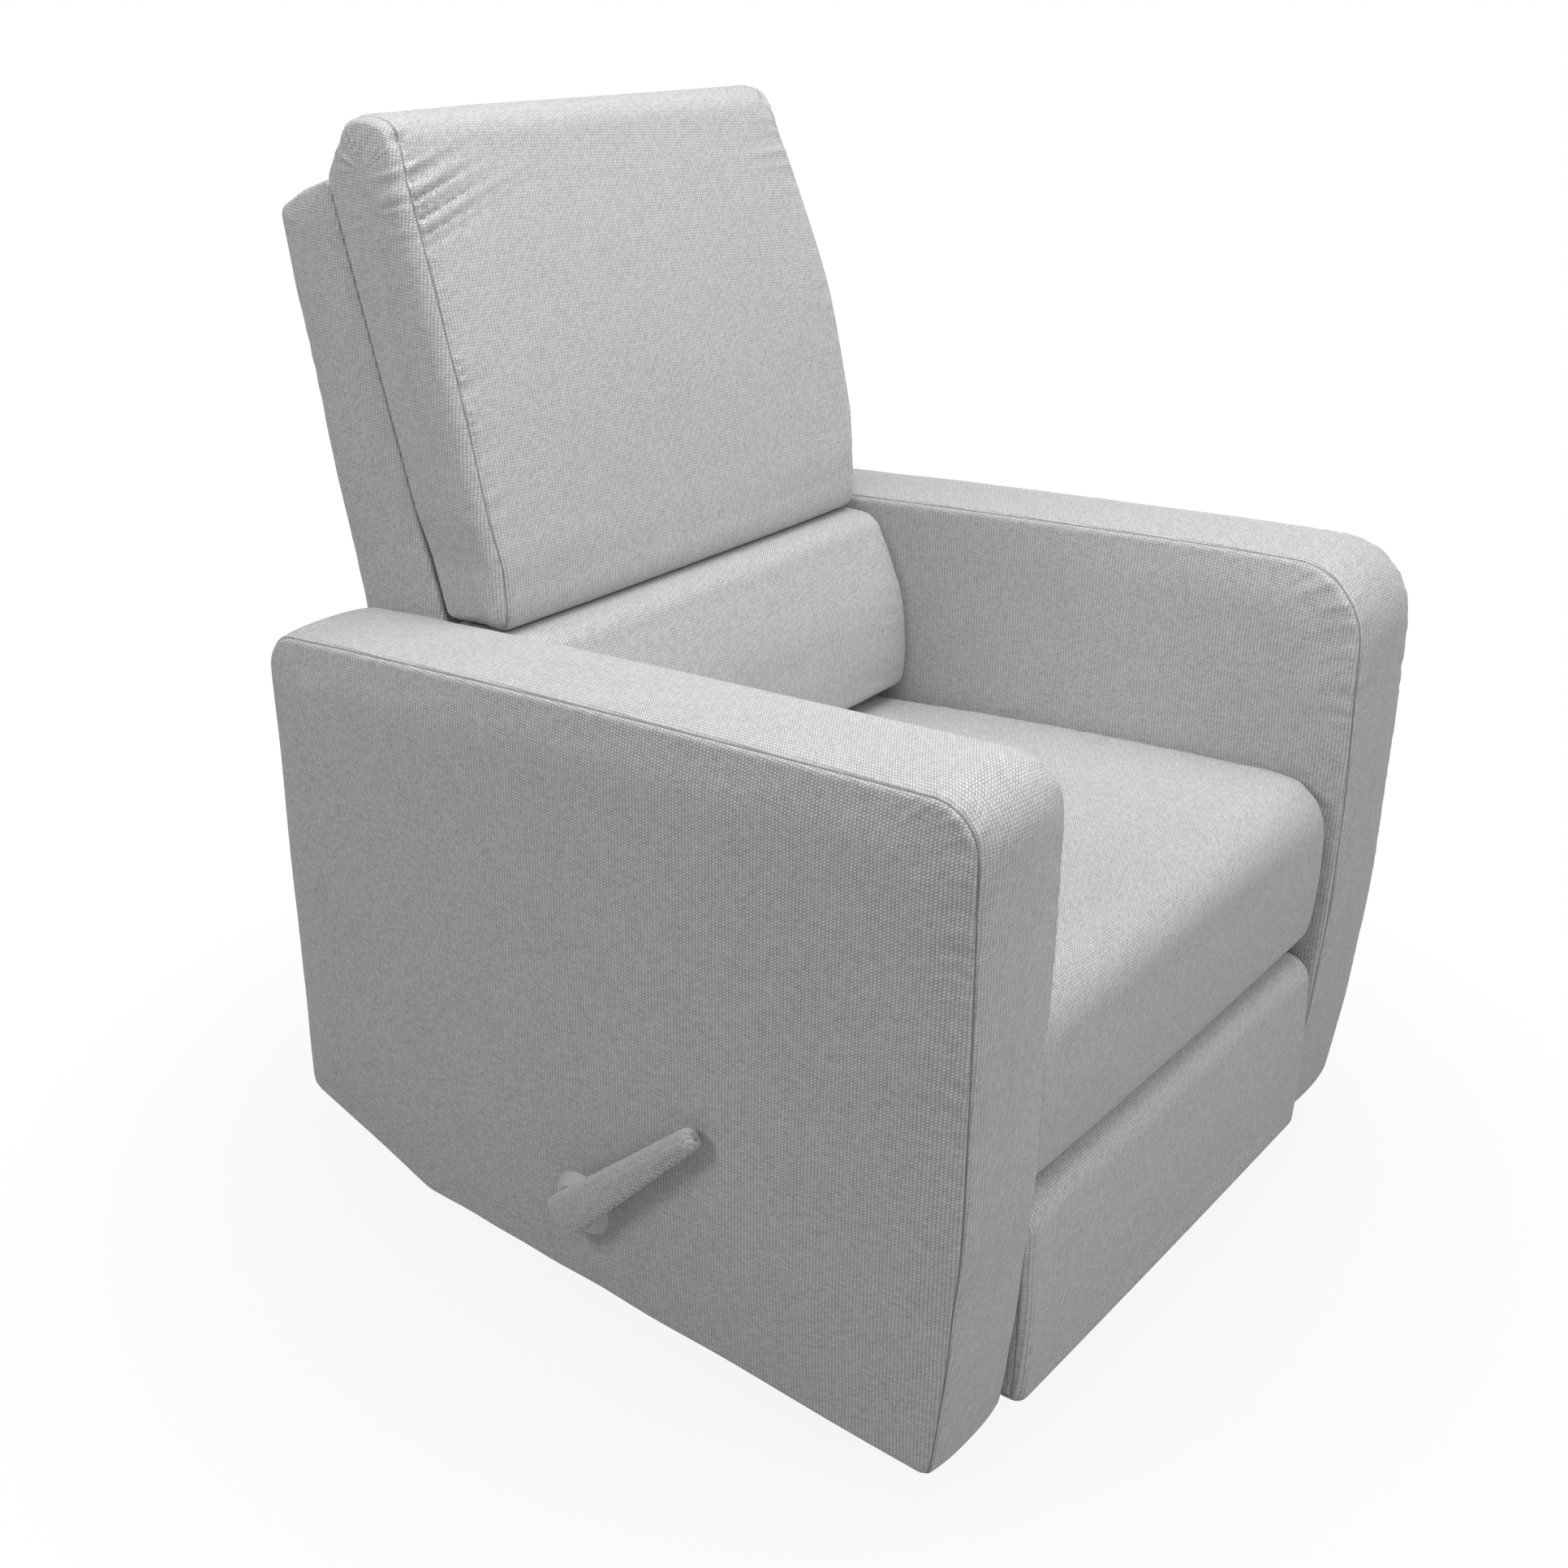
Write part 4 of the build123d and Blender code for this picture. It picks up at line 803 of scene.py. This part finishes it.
def drawIn(padding, height, front):
    # narrower between the arms; the top corners are drawn in, the sitter's left one most
    x, y, z = padding.places()
    betweenArms = fall(height, pillow["armShare"], 0.10)
    x *= 1 - pillow["narrowing"] * betweenArms
    x += pillow["leftSwell"] * rise(x, 0, 0.2) * fall(height, 0.75, 0.3) * (1 - betweenArms)
    atSide = rise(abs(x), 0.16, 0.10) ** 2
    onLeft = x > 0
    drawn = np.where(onLeft, pillow["drawn"]["left"], pillow["drawn"]["right"])
    start = np.where(onLeft, pillow["drawnFrom"]["left"], pillow["drawnFrom"]["right"])
    atTop = rise(height, start, 1 - start) ** 1.5
    y += pillow["drawnBack"] * atSide * onLeft * atTop * np.clip(2 - height / 0.5, 0.15, 1) * front
    x -= np.sign(x) * atSide * drawn * atTop * np.clip(1 - (y - pillowNose) / 0.09, 0.25, 1)
    z -= pillow["slump"] * np.clip(0.35 + x / 0.40, 0, 1) * rise(height, 0.80, 0.20)


def wrinkle(padding, height, front):
    # short creases run out from the seams, longest and deepest below the top corners
    d, s = padding.lengths()
    away, band = abs(d), ~padding.onPanel[:, None]
    creases = 0.4 - 1.2 * near(ripple(s + 0.3 * away * band, pillow["folds"], 31), 0.34)
    folds = np.where(padding.onFirst, creases, 0.3 * ripple(s, pillow["folds"], 77))
    fromCorner = height - pillow["foldShare"]
    depth = 0.17 + 1.3 * near(fromCorner, 0.085) + 0.35 * near(height - 0.5, 0.2)
    reach = fading(d, 0.016 + 0.032 * near(fromCorner, 0.08)) * (1 - fading(d, 0.004))
    padding.push(folds * reach * band * front * depth * pillow["wrinkles"])
    depth = 0.12 + 0.88 * near(fromCorner - 0.01, 0.09)
    reach = fading(d, 0.03) * (1 - fading(d, 0.006))
    padding.push(folds * reach * ~band * front * depth * pillow["gussetWrinkles"])


def makePillow():
    padding = Padding({
        "corners": [
            (shellFront(pillowFoot) - 0.002, pillowFoot + 0.004, 0.008, 0.0),
            (pillowBehind - 0.0012, shellHigh.z + 0.0012, 0.004, 0.0),
            (pillowBehind - pillow["rearLean"], pillowTop, pillow["rearRadius"], 0.001),
            (pillowNose, pillowTop, pillow["noseRadius"], pillow["frontBow"]),
            (pillowLow.y - 0.0025, pillowFoot + pillow["lipHeight"], pillow["lipRadius"], 0.001),
            (pillowLow.y - 0.0015, pillowFoot, pillow["footRadius"], 0.0),
        ],
        "spacing": 0.0030, "ease": 0.004, "roundness": pillowRoundness,
        "left": pillowLow.x - pillow["spread"], "right": pillowHigh.x + pillow["spread"],
        "edge": pillow["edge"], "step": 0.0066,
        "seamAngle": math.radians(60), "crown": 0.0035, "fullness": 2.6, "belly": 0.001,
        "spine": [(shellFront(pillowFoot) - 0.040, pillowFoot + 0.045),
                  (pillowBehind - 0.054, pillowTop - 0.045)],
    })
    inflate(padding, pillow["pressure"], pillow["swelling"], backHeld)
    x, y, z = padding.places()
    d, s = padding.lengths()
    front = rise(shellFront(z) - y, 0.012, 0.03)
    height = (z - pillowFoot) / (pillowTop - pillowFoot)
    drawIn(padding, height, front)
    wrinkle(padding, height, front)
    padding.push(ripple(s, pillow["waves"], 12) * np.cos(x * 5.385) * pillow["softness"] * front)
    padding.sewSeams(0.0007, 0.0016, roll=0.0002, reach=0.010)
    notch = near(z - pillowTop + pillow["notchDrop"], 0.007) * near(y - pillowNose - 0.004, 0.012)
    padding.push(-pillow["notchDepth"] * notch * near(d, 0.010))
    dress(padding.write("back_pillow_cover"), "back", "back_pillow")


makePillow()
print("pillow made")


# ---- lumbar cushion
lumbarLow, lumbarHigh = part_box("lumbar_cushion")
lumbar = {
    "lean": 0.044, "bow": 0.014, "topRadius": 0.026, "footRadius": 0.016,
    "edge": 0.011, "spread": 0.0035, "pressure": 3.0, "swelling": 0.006,
    "wrinkles": 0.0013, "folds": ((0.030, 0.6), (0.047, 0.5)),
    "softness": 0.0011, "waves": ((0.14, 0.7), (0.09, 0.4)),
}


def makeLumbar():
    foot, top, front = lumbarLow.z, lumbarHigh.z, lumbarLow.y
    padding = Padding({
        "corners": [
            (shellFront(foot) - 0.001, foot + 0.002, 0.006, 0.0),
            (shellFront(top) - 0.001, top - 0.001, 0.006, 0.001),
            (front + lumbar["lean"], top - 0.002, lumbar["topRadius"], lumbar["bow"]),
            (front + 0.003, foot + 0.002, lumbar["footRadius"], 0.002),
        ],
        "spacing": 0.0034, "ease": 0.004,
        "left": lumbarLow.x - lumbar["spread"], "right": lumbarHigh.x + lumbar["spread"],
        "edge": lumbar["edge"], "step": 0.008,
        "seamAngle": math.radians(40), "crown": 0.003, "fullness": 2.6, "belly": 0.0,
        "spine": [(front + 0.07, foot + 0.05), (front + 0.09, top - 0.05)],
    })
    inflate(padding, lumbar["pressure"], lumbar["swelling"], backHeld)
    x = padding.places()[0]
    d, s = padding.lengths()
    folds = ripple(s + 0.2 * abs(d), lumbar["folds"], 41)
    padding.push(folds * fading(d, 0.035) * (1 - fading(d, 0.005)) * lumbar["wrinkles"])
    padding.push(ripple(s, lumbar["waves"], 6) * np.cos(x * 4.1) * lumbar["softness"])
    padding.sewSeams(0.0010, 0.0020)
    dress(padding.write("lumbar_cover"), "back", "lumbar_cushion")


makeLumbar()
print("lumbar cushion made")


# ---- seat: the top rolls over the front edge and down to the footrest
seatLow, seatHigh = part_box("seat_cushion")
seat = {
    "noseRadius": 0.052,
    "lip": 0.052,           # depth of the front border
    "rearHeight": 0.392,
    "frontHeight": 0.4355,
    "topBow": 0.005,
    "tuck": 0.010,          # the border's foot rolls back by this much
    "tuckRadius": 0.026,
    "frontBow": 0.003,
    "spread": 0.0025,
    "edge": 0.015,
    "pressure": 2.6,
    "swelling": 0.006,
    "frameLevel": 0.325,    # below this the cushion lies on its frame
    "wrinkles": 0.0010,
    "softness": 0.0013,
    "folds": ((0.036, 0.5), (0.058, 0.5)),
    "waves": ((0.19, 0.7), (0.12, 0.5)),
}


def seatHeld(padding):
    # the underside, the rear and the back of the front border lie on the seat frame
    x, y, z = padding.places()
    under = fall(z, seat["frameLevel"], 0.01) * (y > seatLow.y + 0.02)
    rear = rise(y, seatHigh.y - 0.02, 0.015)
    sides = rise(abs(x), seatHigh.x - 0.006, 0.003)
    return np.maximum(np.maximum(under, rear), sides)


def makeSeat():
    front, rear, foot = seatLow.y, seatHigh.y, seatLow.z
    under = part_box("seat_webbing")[1].z + 0.0005
    lip = front + seat["lip"]
    padding = Padding({
        "corners": [
            (lip, foot + 0.001, 0.010, 0.0),
            (lip, under, 0.004, 0.0),
            (rear, under, 0.010, 0.0),
            (rear, seat["rearHeight"], 0.012, seat["topBow"]),
            (front + 0.003, seat["frontHeight"], seat["noseRadius"], seat["frontBow"]),
            (front + seat["tuck"], foot + 0.002, seat["tuckRadius"], 0.0),
        ],
        "spacing": 0.0038, "ease": 0.007,
        "left": seatLow.x - seat["spread"], "right": seatHigh.x + seat["spread"],
        "edge": seat["edge"], "step": 0.0085,
        "seamAngle": math.radians(12), "crown": 0.0035, "fullness": 2.2, "belly": 0.0,
        "spine": [(front + 0.026, foot + 0.03), (front + 0.028, under + 0.05), (rear - 0.05, under + 0.045)],
    })
    inflate(padding, seat["pressure"], seat["swelling"], seatHeld)
    x, z = padding.places()[::2]
    d, s = padding.lengths()
    onTop = rise(z, seat["frameLevel"] + 0.005, 0.05)
    padding.push(ripple(s, seat["waves"], 14) * np.cos(x * 5.2 + 0.3) * seat["softness"] * onTop)
    padding.push(ripple(s, seat["folds"], 15) * fading(d, 0.04) * seat["wrinkles"] * onTop)
    dress(padding.write("seat_cover"), "seat", "seat_cushion")


makeSeat()
print("seat made")


# ---- footrest pad
footLow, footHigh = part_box("footrest_pad")
footrest = {
    "topRadius": 0.026, "bottomRadius": 0.010, "bow": 0.003, "edge": 0.014, "spread": 0.0070,
    "pressure": 2.0, "swelling": 0.003,
    "wrinkles": 0.0008, "folds": ((0.028, 0.6), (0.05, 0.5)),
    "softness": 0.0007, "waves": ((0.11, 0.7), (0.07, 0.5)),
}


def footrestHeld(padding):
    # the rear lies on its board
    behind = rise(padding.places()[1], footHigh.y - 0.010, 0.006)
    return np.maximum(behind, near(padding.seamDistance, 0.006))


def makeFootrest():
    front, rear, foot, top = footLow.y + 0.0015, footHigh.y, footLow.z, footHigh.z
    padding = Padding({
        "corners": [
            (rear, foot + 0.001, 0.004, 0.0),
            (rear, top - 0.001, 0.012, 0.001),
            (front, top - 0.001, footrest["topRadius"], footrest["bow"]),
            (front, foot + 0.001, footrest["bottomRadius"], 0.0),
        ],
        "spacing": 0.0030, "ease": 0.004,
        "left": footLow.x - footrest["spread"], "right": footHigh.x + footrest["spread"],
        "edge": footrest["edge"], "step": 0.0085,
        "seamAngle": math.radians(15), "crown": 0.0012, "fullness": 2.5, "belly": 0.0,
        "spine": [(footLow.y + 0.02, foot + 0.03), (footLow.y + 0.02, top - 0.03)],
    })
    inflate(padding, footrest["pressure"], footrest["swelling"], footrestHeld)
    x = padding.places()[0]
    d, s = padding.lengths()
    padding.push(ripple(s, footrest["waves"], 52) * np.cos(x * 6) * footrest["softness"])
    padding.push(ripple(s, footrest["folds"], 51) * fading(d, 0.03) * footrest["wrinkles"])
    padding.sewSeams(0.0008, 0.0018)
    dress(padding.write("footrest_cover"), "footrest", "footrest_pad")


makeFootrest()
print("footrest made")


# ---- release lever, a covered paddle on the shaft at the sitter's right
leverLow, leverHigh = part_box("lever_cover")
lever = {
    "footHalf": 0.0215, "footRadius": 0.0185,
    "tipHalf": 0.0102, "tipRadius": 0.0085,
    "edge": 0.0072,
    "short": 0.008,         # the sleeve ends this far before the solid's corner
    "slant": 0.7,           # turns the weave where it wraps round the sides
    "wrinkles": 0.0002, "folds": ((0.034, 0.5), (0.055, 0.5)),
}


def makeLever():
    tipCentre = np.array([leverLow.y, leverHigh.z]) + np.array([1, -1]) * lever["tipHalf"]
    reach = np.linalg.norm(tipCentre - pivot)
    ahead = (tipCentre - pivot) / reach
    aside = np.array([ahead[1], -ahead[0]])
    foot, tip = -lever["footHalf"], reach + lever["tipHalf"] - lever["short"]
    footSide = 0.98 * lever["footHalf"]
    ends = [(foot, footSide, lever["footRadius"]), (foot, -footSide, lever["footRadius"]),
            (tip, -lever["tipHalf"], lever["tipRadius"]), (tip, lever["tipHalf"], lever["tipRadius"])]
    corners = [(*(pivot + ahead * along + aside * across), radius, 0.0) for along, across, radius in ends]
    padding = Padding({
        "corners": corners,
        "spacing": 0.0018, "ease": 0.002, "slant": lever["slant"],
        "left": leverLow.x - 0.0004, "right": leverHigh.x - 0.0002, "edge": lever["edge"], "step": 0.0016,
        "seamAngle": math.radians(90), "crown": 0.0006, "fullness": 2.0, "belly": 0.0012,
        "spine": [tuple(pivot), tuple(pivot + ahead * (tip - 0.012))],
    })
    d, s = padding.lengths()
    padding.push(ripple(s, lever["folds"], 61) * fading(d, 0.008) * lever["wrinkles"])
    padding.seamDistance = np.ones_like(d)      # the sleeve is sewn out of sight
    dress(padding.write("lever_sleeve"), "lever", "lever_cover")


makeLever()
print("lever made")


# ---- camera, lights and floor
view = {
    "eye": Vector((-1.3503, -1.0495, 1.1830)),
    "yaw": math.radians(51.05),
    "pitch": math.radians(24.35),
    "roll": math.radians(0.61),
    "lens": 43.31,
    "sensor": 36.0,
}
studio = {
    "fill": 0.03,
    "sky": colour(0.975, 0.985, 1.0),
    "paper": 0.50,
    "floorHalf": 6.0,
    "shadowReach": 0.42,    # the floor keeps its shadow up to here
    "whiteBeyond": 0.95,    # and is plain white beyond here
    "whiteNear": 0.90,
}
# place, aim, width, depth and watts
lamps = {
    "overhead": ((-0.05, -0.40, 2.40), (0.0, -0.30, 0.4), 2.0, 1.5, 37.0),
    "window": ((-2.6, 1.2, 2.2), (0.0, 0.0, 0.6), 1.2, 0.9, 30.0),
    "front": ((-0.40, -3.0, 2.9), (0.0, 0.0, 0.6), 4.4, 1.6, 70.0),
    "right": ((3.0, 0.3, 0.9), (0.0, 0.0, 0.6), 2.0, 1.2, 24.0),
    "behind": ((0.4, 3.2, 0.9), (0.0, 0.0, 0.6), 2.0, 1.2, 20.0),
}


def placeCamera():
    yaw, pitch, roll = view["yaw"], view["pitch"], view["roll"]
    ahead = Vector((math.sin(yaw) * math.cos(pitch), math.cos(yaw) * math.cos(pitch), -math.sin(pitch)))
    right = Vector((math.cos(yaw), -math.sin(yaw), 0.0))
    down = ahead.cross(right)
    turned = math.cos(roll) * right + math.sin(roll) * down
    up = turned.cross(ahead)
    data = bpy.data.cameras.new("camera")
    data.lens, data.sensor_width, data.sensor_fit = view["lens"], view["sensor"], "HORIZONTAL"
    data.clip_start, data.clip_end = 0.05, 50.0
    camera = bpy.data.objects.new("camera", data)
    turn = Matrix((turned, up, -ahead)).transposed().to_4x4()
    camera.matrix_world = Matrix.Translation(view["eye"]) @ turn
    bpy.context.scene.collection.objects.link(camera)
    bpy.context.scene.camera = camera


def softBox(name, place, aim, width, depth, watts):
    data = bpy.data.lights.new(name, "AREA")
    data.shape, data.size, data.size_y, data.energy = "RECTANGLE", width, depth, watts
    lamp = bpy.data.objects.new(name, data)
    direction = Vector(aim) - Vector(place)
    lamp.matrix_world = Matrix.Translation(place) @ direction.to_track_quat("-Z", "Y").to_matrix().to_4x4()
    bpy.context.scene.collection.objects.link(lamp)


def studioFloor():
    half = studio["floorHalf"]
    sheet = bpy.data.meshes.new("studio_floor")
    corners = [(-half, -half, 0), (half, -half, 0), (half, half, 0), (-half, half, 0)]
    sheet.from_pydata(corners, [], [(0, 1, 2, 3)])
    paper = material("studio_paper")
    place = paper.place()
    tone = paper.blend(paper.noise(place, 3.0), grey(studio["paper"]), grey(studio["paper"] * 1.03))
    lit = paper.node("ShaderNodeBsdfDiffuse", None, {"Color": tone})
    glow = paper.node("ShaderNodeEmission", None, {"Color": grey(1.0), "Strength": 1.0})
    away = paper.node("ShaderNodeVectorMath", {"operation": "LENGTH"}, {0: place}, 1)
    white = paper.range(away, studio["shadowReach"], studio["whiteBeyond"], studio["whiteNear"], 1.0)
    mixed = paper.node("ShaderNodeMixShader", None, {0: paper.inSight() * white, 1: lit, 2: glow})
    paper.node("ShaderNodeOutputMaterial", None, {"Surface": mixed})
    sheet.materials.append(paper.owner)
    floor = bpy.data.objects.new("studio_floor", sheet)
    bpy.context.scene.collection.objects.link(floor)


def studioWorld():
    world = bpy.data.worlds.new("studio")
    bpy.context.scene.world = world
    sky = Finish(world)
    fill = sky.node("ShaderNodeBackground", None, {"Color": studio["sky"], "Strength": studio["fill"]})
    white = sky.node("ShaderNodeBackground", None, {"Color": grey(1.0), "Strength": 1.0})
    mixed = sky.node("ShaderNodeMixShader", None, {0: sky.inSight(), 1: fill, 2: white})
    sky.node("ShaderNodeOutputWorld", None, {"Surface": mixed})


placeCamera()
studioFloor()
studioWorld()
for name, settings in lamps.items():
    softBox(name, *settings)
bpy.context.scene.view_settings.view_transform = "Standard"
print("camera and lights placed")
